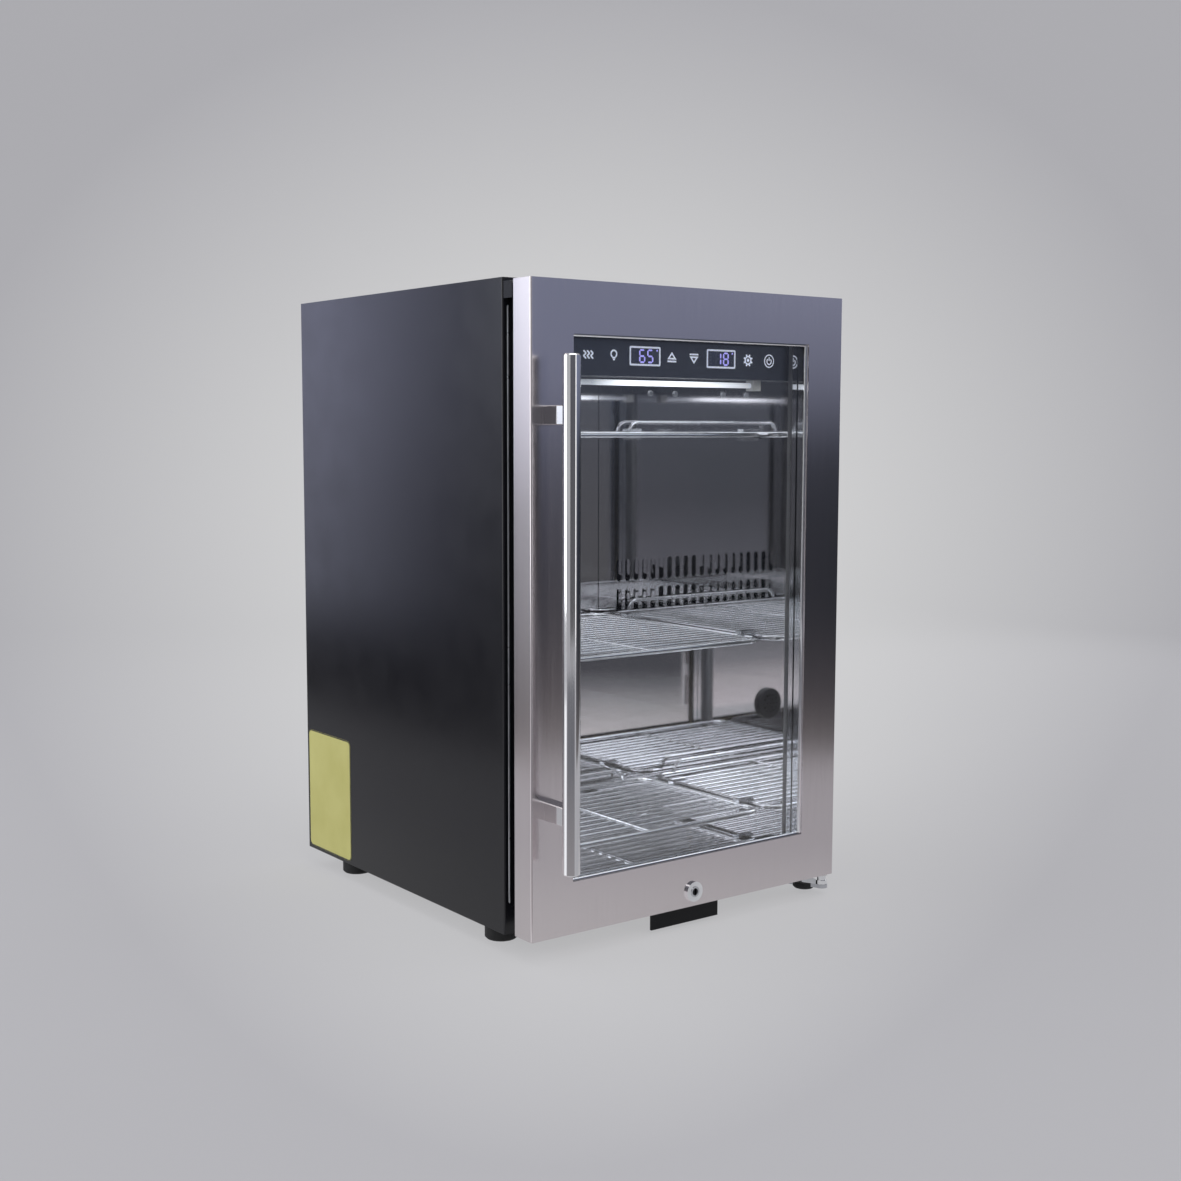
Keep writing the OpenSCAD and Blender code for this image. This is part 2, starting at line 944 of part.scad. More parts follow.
// Shallow box behind the fascia, hung from the liner ceiling
module control_housing() {
    x_out = half_in - side_fit;
    y_out = y_housing + housing_d;
    y_board = y_housing + display_body_d + board_t;
    color("#1d1d20") {
        difference() {
            block([-x_out, y_housing, z_fascia], [x_out, y_out, z_ceil]);
            block(
                [housing_t - x_out, y_housing - over, z_fascia + housing_t],
                [x_out - housing_t, y_out - housing_t, z_ceil - housing_t]
            );
        }
        for (x = [-board_w / 2 + board_boss_d, board_w / 2 - board_boss_d])
            translate([x, 0, z_fascia + display_up])
                rod_y(board_boss_d, y_board, y_out - housing_t + over);
    }
}

module display_modules() {
    front_w = display_w - 2 * fit;
    front_h = display_h - 2 * fit;
    back_w = display_w + 2 * display_rim;
    back_h = display_h + 2 * display_rim;
    color("#20242c")
        at_displays() {
            block([-front_w / 2, display_sink, -front_h / 2], [front_w / 2, fascia_t, front_h / 2]);
            block(
                [-back_w / 2, fascia_t, -back_h / 2],
                [back_w / 2, fascia_t + display_body_d, back_h / 2]
            );
        }
}

module control_board() {
    y_face = y_housing + display_body_d;
    z_mid = z_fascia + display_up;
    color("#2f5d3a")
        block(
            [-board_w / 2, y_face, z_mid - board_h / 2],
            [board_w / 2, y_face + board_t, z_mid + board_h / 2]
        );
}

module lamp_tube() {
    color("#f4f6ff")
        translate([0, y_lamp, z_lamp])
            rod_x(lamp_d, -lamp_len / 2 - socket_hold, lamp_len / 2 + socket_hold);
}

module lamp_sockets() {
    color("#e4e4e2")
        for (side = [-1, 1])
            translate([side * (lamp_len + socket_w) / 2, y_lamp, z_lamp])
                difference() {
                    block(
                        [-socket_w / 2, -socket_d / 2, -socket_h / 2],
                        [socket_w / 2, socket_d / 2, socket_h / 2]
                    );
                    translate([side * (socket_hold - socket_w), 0, 0])
                        rod_x(lamp_d + 2 * run_fit, -socket_w / 2, socket_w / 2);
                }
}

// Clips on the liner walls that cradle the side wires of a shelf
module clip_set(level, depth) {
    groove_d = frame_wire_d + 2 * fit;
    for (side = [-1, 1])
        for (y = [clip_from_front, depth - clip_from_back])
            translate([side * half_in, y_rack + y, level])
                difference() {
                    block(
                        [side > 0 ? -clip_reach : 0, -clip_d / 2, -clip_h / 2],
                        [side > 0 ? 0 : clip_reach, clip_d / 2, clip_h / 2]
                    );
                    translate([side * (rack_side - half_in), 0, 0]) {
                        rod_y(groove_d, -clip_d, clip_d);
                        block(
                            [side > 0 ? -clip_reach : 0, -clip_d, -groove_d / 2],
                            [side > 0 ? 0 : clip_reach, clip_d, groove_d / 2]
                        );
                    }
                }
}

module shelf_clips() {
    color("#b4b7ba")
        for (i = [0 : 2])
            clip_set(shelf_levels[i], shelf_depths[i]);
}

// Wire rack: a rounded frame with cross wires and one brace, front edge at y = 0
module rack(depth) {
    front = frame_wire_d / 2;
    back = depth - frame_wire_d / 2;
    wires = floor((depth - 2 * rack_corner) / deck_pitch);
    first = (depth - (wires - 1) * deck_pitch) / 2;
    straight = rack_side - rack_corner;
    for (y = [front, back])
        translate([0, y, 0])
            rod_x(frame_wire_d, -straight, straight);
    for (x = [-rack_side, rack_side])
        translate([x, 0, 0])
            rod_y(frame_wire_d, front + rack_corner, back - rack_corner);
    for (side = [-1, 1]) {
        translate([side * straight, back - rack_corner, 0])
            rotate([0, 0, side > 0 ? 0 : 90])
                bend(rack_corner, frame_wire_d);
        translate([side * straight, front + rack_corner, 0])
            rotate([0, 0, side > 0 ? -90 : 180])
                bend(rack_corner, frame_wire_d);
    }
    for (i = [0 : wires - 1])
        translate([0, first + i * deck_pitch, 0])
            rod_x(deck_wire_d, -rack_side, rack_side);
    rod_y(stop_wire_d, front, back);
}

// Bent wire along the back of a rack, standing on the rear frame wire
module rack_stop(depth) {
    back = depth - frame_wire_d / 2;
    half = rack_side - stop_inset;
    straight = half - stop_bend;
    rise = stop_h - stop_wire_d / 2;
    difference() {
        translate([0, back, 0]) {
            translate([0, 0, rise])
                rod_x(stop_wire_d, -straight, straight);
            for (side = [-1, 1]) {
                translate([side * half, 0, 0])
                    cylinder(d = stop_wire_d, h = rise - stop_bend);
                translate([side * straight, 0, rise - stop_bend])
                    rotate([90, 0, 0])
                        rotate([0, 0, side > 0 ? 0 : 90])
                            bend(stop_bend, stop_wire_d);
            }
        }
        translate([0, back, 0])
            rod_x(frame_wire_d + 2 * run_fit, -half_w, half_w);
    }
}

// A shelf or its stop, put at its level
module at_shelf(i) {
    translate([0, y_rack, shelf_levels[i]])
        children();
}

module upper_shelf() {
    color("#b4b7ba")
        at_shelf(2)
            rack(shelf_depths[2]);
}

module upper_shelf_stop() {
    color("#b4b7ba")
        at_shelf(2)
            rack_stop(shelf_depths[2]);
}

module middle_shelf() {
    color("#b4b7ba")
        at_shelf(1)
            rack(shelf_depths[1]);
}

module middle_shelf_stop() {
    color("#b4b7ba")
        at_shelf(1)
            rack_stop(shelf_depths[1]);
}

module lower_shelf() {
    color("#b4b7ba")
        at_shelf(0)
            rack(shelf_depths[0]);
}

module lower_shelf_stop() {
    color("#b4b7ba")
        at_shelf(0)
            rack_stop(shelf_depths[0]);
}

module at_compressor() {
    translate([compressor_x, y_machine, 0])
        children();
}

module compressor() {
    seam_h = 4;
    color("#1f2023")
        at_compressor() {
            translate([0, 0, z_compressor]) {
                can(compressor_d, compressor_h, compressor_round);
                translate([0, 0, (compressor_h - seam_h) / 2])
                    cylinder(d = compressor_d + 2 * compressor_seam, h = seam_h);
            }
            block(
                [-compressor_plate_w / 2, -compressor_plate_d / 2, z_compressor - compressor_plate_t],
                [compressor_plate_w / 2, compressor_plate_d / 2, z_compressor]
            );
        }
}

module compressor_mounts() {
    color("#151517")
        at_compressor()
            for (x = [-1, 1])
                for (y = [-1, 1])
                    translate([
                        x * (compressor_plate_w / 2 - mount_edge),
                        y * (compressor_plate_d / 2 - mount_edge),
                        z_pan
                    ])
                        cylinder(d = mount_d, h = mount_h);
}

// Suction and discharge tubes from the compressor into the foam above the bay
module refrigerant_pipes() {
    bottom = z_compressor + compressor_h;
    top = z_bay - sheet_t;
    color("#b87333")
        at_compressor() {
            translate([-pipe_inset, 0, bottom])
                cylinder(d = suction_d, h = top - bottom);
            translate([pipe_inset, 0, bottom])
                cylinder(d = discharge_d, h = top - bottom);
        }
}

// Terminal cover seated on the side of the compressor
module relay_box() {
    reach = compressor_d / 2 - relay_seat;
    z_low = z_compressor + compressor_round;
    color("#202124")
        at_compressor()
            difference() {
                block([reach, -relay_d / 2, z_low], [reach + relay_w, relay_d / 2, z_low + relay_h]);
                translate([0, 0, z_compressor])
                    cylinder(d = compressor_d + 2 * (compressor_seam + run_fit), h = compressor_h);
            }
}

// Places of the louvres, at the middle of their upper edge
module at_louvres() {
    for (side = [-1, 1])
        for (i = [0 : louvre_rows - 1])
            translate([side * (louvre_w + louvre_gap) / 2, 0, z_bay - louvre_top - i * louvre_pitch])
                children();
}

// Cover of the machine bay, with a sloping hood over each louvre
module bay_cover() {
    x_out = half_w - sheet_t - fit;
    color("#26272b")
        difference() {
            union() {
                block([-x_out, y_sheet_back, z_pan], [x_out, y_flange, z_bay - sheet_t]);
                at_louvres()
                    extrude_x(-louvre_w / 2, louvre_w / 2)
                        polygon([
                            [y_sheet_back, hood_lip],
                            [y_flange, 2 * hood_lip],
                            [y_flange + hood_out, hood_lip - louvre_h / 2],
                            [y_flange + hood_out, -louvre_h / 2],
                            [y_flange, 0]
                        ]);
            }
            at_louvres()
                block([-louvre_w / 2, y_sheet_back - over, -louvre_h], [louvre_w / 2, y_flange, 0]);
            at_cover_screws()
                rod_y(m4_hole_d, -3 * sheet_t, 0);
            translate([gland_x, 0, z_pan + gland_up])
                rod_y(gland_neck_d + 2 * run_fit, y_sheet_back - over, y_flange + over);
        }
}

module cord_gland() {
    color("#18181a")
        translate([gland_x, 0, z_pan + gland_up])
            difference() {
                union() {
                    rod_y(gland_flange_d, y_flange, y_flange + gland_flange_t);
                    rod_y(gland_neck_d, y_sheet_back - over, y_flange + over);
                    rod_y(gland_flange_d, y_sheet_back - gland_flange_t, y_sheet_back);
                }
                rod_y(gland_bore_d, y_sheet_back - 2 * gland_flange_t, y_flange + 2 * gland_flange_t);
            }
}

module feet() {
    color("#17171a")
        at_feet()
            translate([0, 0, -foot_h])
                difference() {
                    rotate_extrude()
                        polygon([
                            [0, 0],
                            [foot_d / 2 - foot_chamfer, 0],
                            [foot_d / 2, foot_chamfer],
                            [foot_d / 2, foot_h],
                            [0, foot_h]
                        ]);
                    translate([0, 0, -over])
                        cylinder(d = m5_hole_d, h = foot_h + 2 * over);
                    translate([0, 0, -over])
                        cylinder(d = foot_bore_d, h = foot_bore_h + over);
                }
}

// Screws from below: feet, lock keeper and lower hinge plate
module base_screws() {
    shank = pan_t + screw_bite;
    grip = foot_h - foot_bore_h;
    color("#8f9296") {
        at_feet()
            translate([0, 0, -grip])
                screw(m5_d, grip + shank, m5_head_d, m5_head_h);
        at_keeper_screws()
            translate([0, 0, -keeper_t])
                screw(m5_d, keeper_t + shank, m5_head_d, m5_head_h);
        at_plate_screws()
            translate([0, 0, -plate_t])
                screw(m5_d, plate_t + shank, m5_head_d, m5_head_h);
    }
}

// Screws of the bay cover, from behind, and of the air panel, from the front
module panel_screws() {
    color("#8f9296") {
        at_cover_screws()
            rotate([90, 0, 0])
                screw(m4_d, 2 * sheet_t + screw_bite, m4_head_d, m4_head_h);
        at_air_posts()
            rotate([-90, 0, 0])
                screw(m4_d, air_panel_t + screw_bite, m4_head_d, m4_head_h);
    }
}

// Outline of the lower hinge plate: a foot under the case and an arm to the pin
module plate_plan() {
    polygon([
        [half_w - plate_edge, y_case + plate_back],
        [half_w - plate_w, y_case + plate_back],
        [half_w - plate_w, y_case + plate_front],
        [half_w - arm_w, y_case + plate_front],
        [pin_x - hinge_round, y_pin],
        [pin_x + hinge_round, y_pin],
        [half_w - plate_edge, y_case + plate_front]
    ]);
    translate([pin_x, y_pin])
        circle(r = hinge_round);
}

// Plate under the case, stepped down to the arm that carries the hinge pin
module lower_hinge_plate() {
    y_web = y_case + plate_front;
    y_nose = y_pin - hinge_round - over;
    y_end = y_case + plate_back + over;
    color("#d0d2d5")
        difference() {
            intersection() {
                translate([0, 0, z_arm])
                    linear_extrude(z_case - z_arm)
                        plate_plan();
                extrude_x(half_w - plate_w - over, half_w)
                    polygon([
                        [y_nose, z_arm],
                        [y_web + plate_t, z_arm],
                        [y_web + plate_t, z_case - plate_t],
                        [y_end, z_case - plate_t],
                        [y_end, z_case],
                        [y_web, z_case],
                        [y_web, z_arm_top],
                        [y_nose, z_arm_top]
                    ]);
            }
            translate([pin_x, y_pin, z_arm - over])
                cylinder(d = pin_d + 2 * run_fit, h = plate_t + 2 * over);
            at_plate_screws()
                translate([0, 0, -plate_t - over])
                    cylinder(d = m5_hole_d, h = plate_t + 2 * over);
        }
}

module lower_hinge_pin() {
    shoulder_top = z_door - bush_flange_t - fit;
    color("#c8cacd")
        translate([pin_x, y_pin, 0]) {
            translate([0, 0, z_arm])
                cylinder(d = pin_d, h = z_door + pin_reach - z_arm);
            translate([0, 0, z_arm_top])
                cylinder(d = boss_d, h = boss_h);
            translate([0, 0, z_arm_top])
                cylinder(d = shoulder_d, h = shoulder_top - z_arm_top);
        }
}

// Pad moulded round the arm, held clear of the floor
module hinge_foot() {
    r = hinge_foot_d / 2;
    color("#151517")
        difference() {
            translate([pin_x - hinge_foot_left, y_pin + hinge_foot_back, 0])
                rotate_extrude()
                    polygon([
                        [0, hinge_foot_up],
                        [r - foot_chamfer, hinge_foot_up],
                        [r, hinge_foot_up + foot_chamfer],
                        [r, z_arm_top],
                        [0, z_arm_top]
                    ]);
            translate([0, 0, z_arm])
                linear_extrude(plate_t + over)
                    plate_plan();
        }
}

// Outline of the upper tongue: a ring round the pin and a neck that clears the open door's corner
module tongue_plan() {
    leg_right = bracket_leg_x + bracket_leg_w;
    polygon([
        [pin_x - tongue_round, y_pin],
        [pin_x + tongue_round * cos(tongue_tip), y_pin + tongue_round * sin(tongue_tip)],
        [pin_x + tongue_neck, y_pin + tongue_corner],
        [leg_right, y_pin + tongue_corner + tongue_flare],
        [leg_right, y_case],
        [pin_x - tongue_round, y_case]
    ]);
    translate([pin_x, y_pin])
        circle(r = tongue_round);
}

// Angle on the case front, its tongue let into the top of the door
module upper_hinge_bracket() {
    z_low = z_tongue - bracket_t;
    color("#2a2b2e")
        difference() {
            union() {
                translate([0, 0, z_low])
                    linear_extrude(bracket_t)
                        tongue_plan();
                block(
                    [bracket_leg_x, y_case - bracket_t, z_tongue - bracket_leg_h],
                    [bracket_leg_x + bracket_leg_w, y_case, z_tongue]
                );
            }
            translate([pin_x, y_pin, z_low - over])
                cylinder(d = pin_d + 2 * run_fit, h = bracket_t + 2 * over);
            at_bracket_screws()
                rod_y(m4_hole_d, -bracket_t - over, over);
        }
}

module upper_hinge_pin() {
    reach = pin_reach + tongue_gap + bracket_t;
    color("#c8cacd")
        translate([pin_x, y_pin, z_tongue - reach])
            cylinder(d = pin_d, h = reach);
}

// Cap over the unused hinge place at the top left
module hinge_blank_cap() {
    x0 = cap_edge - half_w;
    z1 = z_door + door_h - cap_edge;
    color("#111113")
        difference() {
            extrude_x(x0, x0 + cap_w) {
                translate([y_case - cap_d, z1 - cap_h])
                    square([cap_d, cap_h - cap_round]);
                translate([y_case - cap_d + cap_round, z1 - cap_h])
                    square([cap_d - cap_round, cap_h]);
                translate([y_case - cap_d + cap_round, z1 - cap_round])
                    circle(r = cap_round);
            }
            at_cap_screw()
                rod_y(m4_hole_d, -cap_d - over, over);
        }
}

module hinge_screws() {
    color("#3a3b3e") {
        at_bracket_screws()
            translate([0, -bracket_t, 0])
                rotate([-90, 0, 0])
                    screw(m4_d, bracket_t + sheet_t + screw_bite, m4_head_d, m4_head_h);
        at_cap_screw()
            translate([0, -cap_d, 0])
                rotate([-90, 0, 0])
                    screw(m4_d, cap_d + sheet_t + screw_bite, m4_head_d, m4_head_h);
    }
}

// Folded bracket under the case: the locked cam drops behind its wide front lip
module lock_keeper() {
    lip_y = y_door + y_cam - keeper_lip_gap - keeper_t;
    web_y = y_case + keeper_web_back;
    low = z_case - keeper_drop;
    color("#131315")
        difference() {
            union() {
                block(
                    [keeper_x, lip_y, low],
                    [keeper_x + keeper_w, lip_y + keeper_t, z_case + keeper_lip_top]
                );
                extrude_x(keeper_arm_x, keeper_arm_x + keeper_arm_w) {
                    translate([lip_y, low])
                        square([web_y + keeper_t - lip_y, keeper_t]);
                    translate([web_y, low])
                        square([keeper_t, keeper_drop]);
                    translate([web_y, z_case - keeper_t])
                        square([keeper_foot_d, keeper_t]);
                }
            }
            at_keeper_screws()
                translate([0, 0, -keeper_t - over])
                    cylinder(d = m5_hole_d, h = keeper_t + 2 * over);
        }
}

// Puts a door piece, drawn from the door's front face and bottom edge, in its place
module at_door() {
    translate([0, y_door, z_door])
        children();
}

module at_posts() {
    for (z = post_up)
        translate([bar_x, 0, z])
            children();
}

module at_lock() {
    translate([0, 0, lock_up])
        children();
}

// Room in the door's top corner for the hinge tongue, behind the front face
module hinge_pocket() {
    block(
        [pin_x - hinge_round, skin_t, door_h - pocket_h],
        [half_w + over, door_t + over, door_h + over]
    );
}

// Steel front: a shallow tray with a returned window edge
module door_skin() {
    slot_right = sqrt(pow(cam_reach, 2) - pow(lock_up - skin_t, 2)) + slot_margin;
    slot_left = cam_w / 2 + slot_margin;
    color("#9b9a9c")
        at_door()
            difference() {
                union() {
                    difference() {
                        round_front([-half_w, 0, 0], [half_w, skin_d, door_h], skin_r);
                        block(
                            [skin_t - half_w, skin_t, skin_t],
                            [half_w - skin_t, skin_d + over, door_h - skin_t]
                        );
                    }
                    upright_frame(
                        win_half + skin_t,
                        win_bottom - skin_t,
                        win_top + skin_t,
                        skin_t,
                        0,
                        window_return
                    );
                }
                block([-win_half, -over, win_bottom], [win_half, window_return + over, win_top]);
                at_lock()
                    rod_y(barrel_d + 2 * run_fit, -over, skin_t + over);
                at_posts()
                    rod_y(post_screw_hole, -over, skin_t + over);
                translate([pin_x, hinge_back, -over])
                    cylinder(d = bush_d + 2 * run_fit, h = door_h + 2 * over);
                block(
                    [-slot_left, y_cam - slot_margin, -over],
                    [slot_right, y_cam + cam_t + slot_margin, skin_t + over]
                );
                hinge_pocket();
            }
}

// Filling of the door frame, with a rebate for the glass and a pocket for the lock
module door_core() {
    color("#d8d2c0")
        at_door()
            difference() {
                block([skin_t - half_w, skin_t, skin_t], [half_w - skin_t, glass_back, door_h - skin_t]);
                block(
                    [-win_half - skin_t, 0, win_bottom - skin_t],
                    [win_half + skin_t, glass_back, win_top + skin_t]
                );
                block(
                    [-glass_half - fit, window_return, glass_bottom - fit],
                    [glass_half + fit, glass_back + over, glass_top + fit]
                );
                block(
                    [-lock_pocket_left, 0, 0],
                    [lock_pocket_right, glass_back + over, lock_up + lock_pocket_top]
                );
                at_posts()
                    rod_y(post_pocket_d, 0, skin_t + post_screw_head_h + over);
                translate([pin_x, hinge_back, 0])
                    cylinder(d = bush_d + 2 * run_fit, h = bush_len + over);
                translate([pin_x, hinge_back, door_h - pocket_h - bush_len - over])
                    cylinder(d = bush_d + 2 * run_fit, h = bush_len + 2 * over);
                hinge_pocket();
            }
}

// One pane of the sealed unit, its front at the given depth
module pane(front) {
    at_door()
        block([-glass_half, front, glass_bottom], [glass_half, front + glass_t, glass_top]);
}

module outer_glass() {
    color("#9fb4b8", 0.4)
        pane(window_return);
}

module inner_glass() {
    color("#9fb4b8", 0.4)
        pane(window_return + glass_t + glass_gap);
}

module glass_spacer() {
    front = window_return + glass_t;
    color("#6f7276")
        at_door()
            upright_frame(glass_half, glass_bottom, glass_top, spacer_w, front, front + glass_gap);
}

// Ring that follows the gasket's centre line
module gasket_ring(band, front, back) {
    out = gasket_line - band / 2;
    upright_frame(half_w - out, out, door_h - out, band, front, back);
}

// Drawn inner frame that holds the glass and the gasket
module door_liner() {
    x_out = half_w - skin_t - fit;
    lap = door_liner_lap;
    color("#8f9296")
        at_door()
            difference() {
                block([-x_out, glass_back, skin_t + fit], [x_out, door_t, door_h - skin_t - fit]);
                block(
                    [-win_half - lap, glass_back - over, win_bottom - lap],
                    [win_half + lap, door_t + over, win_top + lap]
                );
                gasket_ring(gasket_dart_w + 2 * fit, door_t - gasket_dart_d - fit, door_t + over);
                hinge_pocket();
            }
}

// Magnetic seal: dart, foot, bellows and head
module door_gasket() {
    bellows_front = door_t + gasket_foot_d;
    head_front = gasket_back - gasket_head_d;
    color("#26272a")
        at_door() {
            gasket_ring(gasket_dart_w, door_t - gasket_dart_d, door_t);
            gasket_ring(gasket_w, door_t, bellows_front);
            gasket_ring(gasket_bellows_w, bellows_front, head_front);
            gasket_ring(gasket_head_w, head_front, gasket_back);
        }
}

module handle_bar() {
    r = handle_d / 2;
    color("#c9cacc")
        at_door()
            translate([bar_x, -handle_offset, (door_h - handle_len) / 2])
                rotate_extrude()
                    polygon([
                        [0, 0],
                        [r - bar_chamfer, 0],
                        [r, bar_chamfer],
                        [r, handle_len - bar_chamfer],
                        [r - bar_chamfer, handle_len],
                        [0, handle_len]
                    ]);
}

// Square posts between bar and door, hollowed to sit against the bar
module handle_posts() {
    color("#bfc0c2")
        at_door()
            at_posts()
                difference() {
                    rotate([90, 0, 0])
                        linear_extrude(handle_offset)
                            polygon([
                                [-post_w / 2, post_chamfer - post_h / 2],
                                [post_chamfer - post_w / 2, -post_h / 2],
                                [post_w / 2 - post_chamfer, -post_h / 2],
                                [post_w / 2, post_chamfer - post_h / 2],
                                [post_w / 2, post_h / 2 - post_chamfer],
                                [post_w / 2 - post_chamfer, post_h / 2],
                                [post_chamfer - post_w / 2, post_h / 2],
                                [-post_w / 2, post_h / 2 - post_chamfer]
                            ]);
                    translate([0, -handle_offset, -post_h])
                        cylinder(d = handle_d + 2 * run_fit, h = 2 * post_h);
                    rod_y(post_screw_d + 2 * run_fit, -post_screw_reach - over, over);
                }
}

module handle_screws() {
    color("#8f9296")
        at_door()
            at_posts()
                translate([0, skin_t, 0])
                    rotate([90, 0, 0])
                        screw(post_screw_d, post_screw_reach + skin_t, post_screw_head_d, post_screw_head_h);
}

module hinge_bushes() {
    color("#e2e2dc")
        at_door()
            translate([pin_x, hinge_back, 0]) {
                difference() {
                    union() {
                        cylinder(d = bush_d, h = bush_len);
                        translate([0, 0, -bush_flange_t])
                            cylinder(d = bush_flange_d, h = bush_flange_t);
                    }
                    translate([0, 0, -bush_flange_t - over])
                        cylinder(d = pin_d + 2 * run_fit, h = bush_len + bush_flange_t + 2 * over);
                }
                translate([0, 0, door_h - pocket_h - bush_len])
                    difference() {
                        cylinder(d = bush_d, h = bush_len);
                        translate([0, 0, -over])
                            cylinder(d = pin_d + 2 * run_fit, h = bush_len + 2 * over);
                    }
            }
}

// Lock housing: front ring, barrel and the nut behind the skin
module lock_body() {
    color("#c6c7c9")
        at_door()
            at_lock()
                difference() {
                    union() {
                        rod_y(bezel_d, -bezel_t, 0);
                        rod_y(barrel_d, -over, barrel_len);
                        rod_y(lock_nut_d, skin_t, skin_t + lock_nut_t);
                    }
                    rod_y(plug_d + 2 * run_fit, -bezel_t - over, barrel_len + over);
                }
}

// Turning plug with its key slot and square tail
module lock_plug() {
    front = -bezel_t - plug_proud;
    tail_end = y_cam + cam_t;
    color("#b5b6b8")
        at_door()
            at_lock()
                difference() {
                    union() {
                        rod_y(plug_d, front, y_cam);
                        block(
                            [-cam_square / 2, y_cam - over, -cam_square / 2],
                            [cam_square / 2, tail_end, cam_square / 2]
                        );
                    }
                    block([-key_w / 2, front - over, -key_h / 2], [key_w / 2, front + key_depth, key_h / 2]);
                    rod_y(cam_screw_d + 2 * run_fit, tail_end - cam_screw_bite - over, tail_end + over);
                }
}

// Flat cam, stored to the right in the unlocked position
module lock_cam() {
    hole = cam_square / 2 + cam_clear;
    color("#c2c3c5")
        at_door()
            at_lock()
                difference() {
                    block([-cam_w / 2, y_cam, -cam_w / 2], [cam_reach, y_cam + cam_t, cam_w / 2]);
                    block([-hole, y_cam - over, -hole], [hole, y_cam + cam_t + over, hole]);
                }
}

module cam_screw() {
    color("#8f9296")
        at_door()
            at_lock()
                translate([0, y_cam + cam_t, 0])
                    rotate([90, 0, 0])
                        screw(cam_screw_d, cam_screw_bite, cam_head_d, cam_head_h);
}

left_panel();
right_panel();
top_panel();
back_panel();
base_pan();
bay_lining();
insulation();
inner_liner();
air_panel();
air_heater();
evaporator();
fan_bracket();
fan_motor();
fan_rotor();
vent_disc();
control_fascia();
control_housing();
display_modules();
control_board();
lamp_tube();
lamp_sockets();
shelf_clips();
upper_shelf();
upper_shelf_stop();
middle_shelf();
middle_shelf_stop();
lower_shelf();
lower_shelf_stop();
compressor();
compressor_mounts();
refrigerant_pipes();
relay_box();
bay_cover();
cord_gland();
feet();
base_screws();
panel_screws();
lower_hinge_plate();
lower_hinge_pin();
hinge_foot();
upper_hinge_bracket();
upper_hinge_pin();
hinge_blank_cap();
hinge_screws();
lock_keeper();
door_skin();
door_core();
outer_glass();
inner_glass();
glass_spacer();
door_liner();
door_gasket();
handle_bar();
handle_posts();
handle_screws();
hinge_bushes();
lock_body();
lock_plug();
lock_cam();
cam_screw();
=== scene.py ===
import json
import math

import bmesh
import bpy
from mathutils import Matrix, Vector


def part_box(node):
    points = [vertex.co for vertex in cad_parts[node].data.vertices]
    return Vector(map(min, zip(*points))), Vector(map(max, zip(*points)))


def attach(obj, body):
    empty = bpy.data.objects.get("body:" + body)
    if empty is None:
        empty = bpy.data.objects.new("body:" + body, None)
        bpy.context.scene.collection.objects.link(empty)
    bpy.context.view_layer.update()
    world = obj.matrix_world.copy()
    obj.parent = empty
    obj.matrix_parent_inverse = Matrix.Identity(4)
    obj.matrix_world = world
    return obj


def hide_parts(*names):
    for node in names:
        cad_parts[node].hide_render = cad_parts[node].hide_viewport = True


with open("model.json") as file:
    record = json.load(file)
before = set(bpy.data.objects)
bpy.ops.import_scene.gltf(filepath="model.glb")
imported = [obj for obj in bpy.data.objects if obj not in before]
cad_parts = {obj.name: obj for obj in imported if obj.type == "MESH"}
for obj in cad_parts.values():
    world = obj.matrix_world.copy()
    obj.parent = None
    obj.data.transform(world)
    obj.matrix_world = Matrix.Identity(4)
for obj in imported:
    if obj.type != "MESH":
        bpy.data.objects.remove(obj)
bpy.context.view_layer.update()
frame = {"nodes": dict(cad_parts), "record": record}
MM = 0.001


# Finishes

# Most of a noise field lies between these values
NOISE_MIDDLE = (0.25, 0.75)


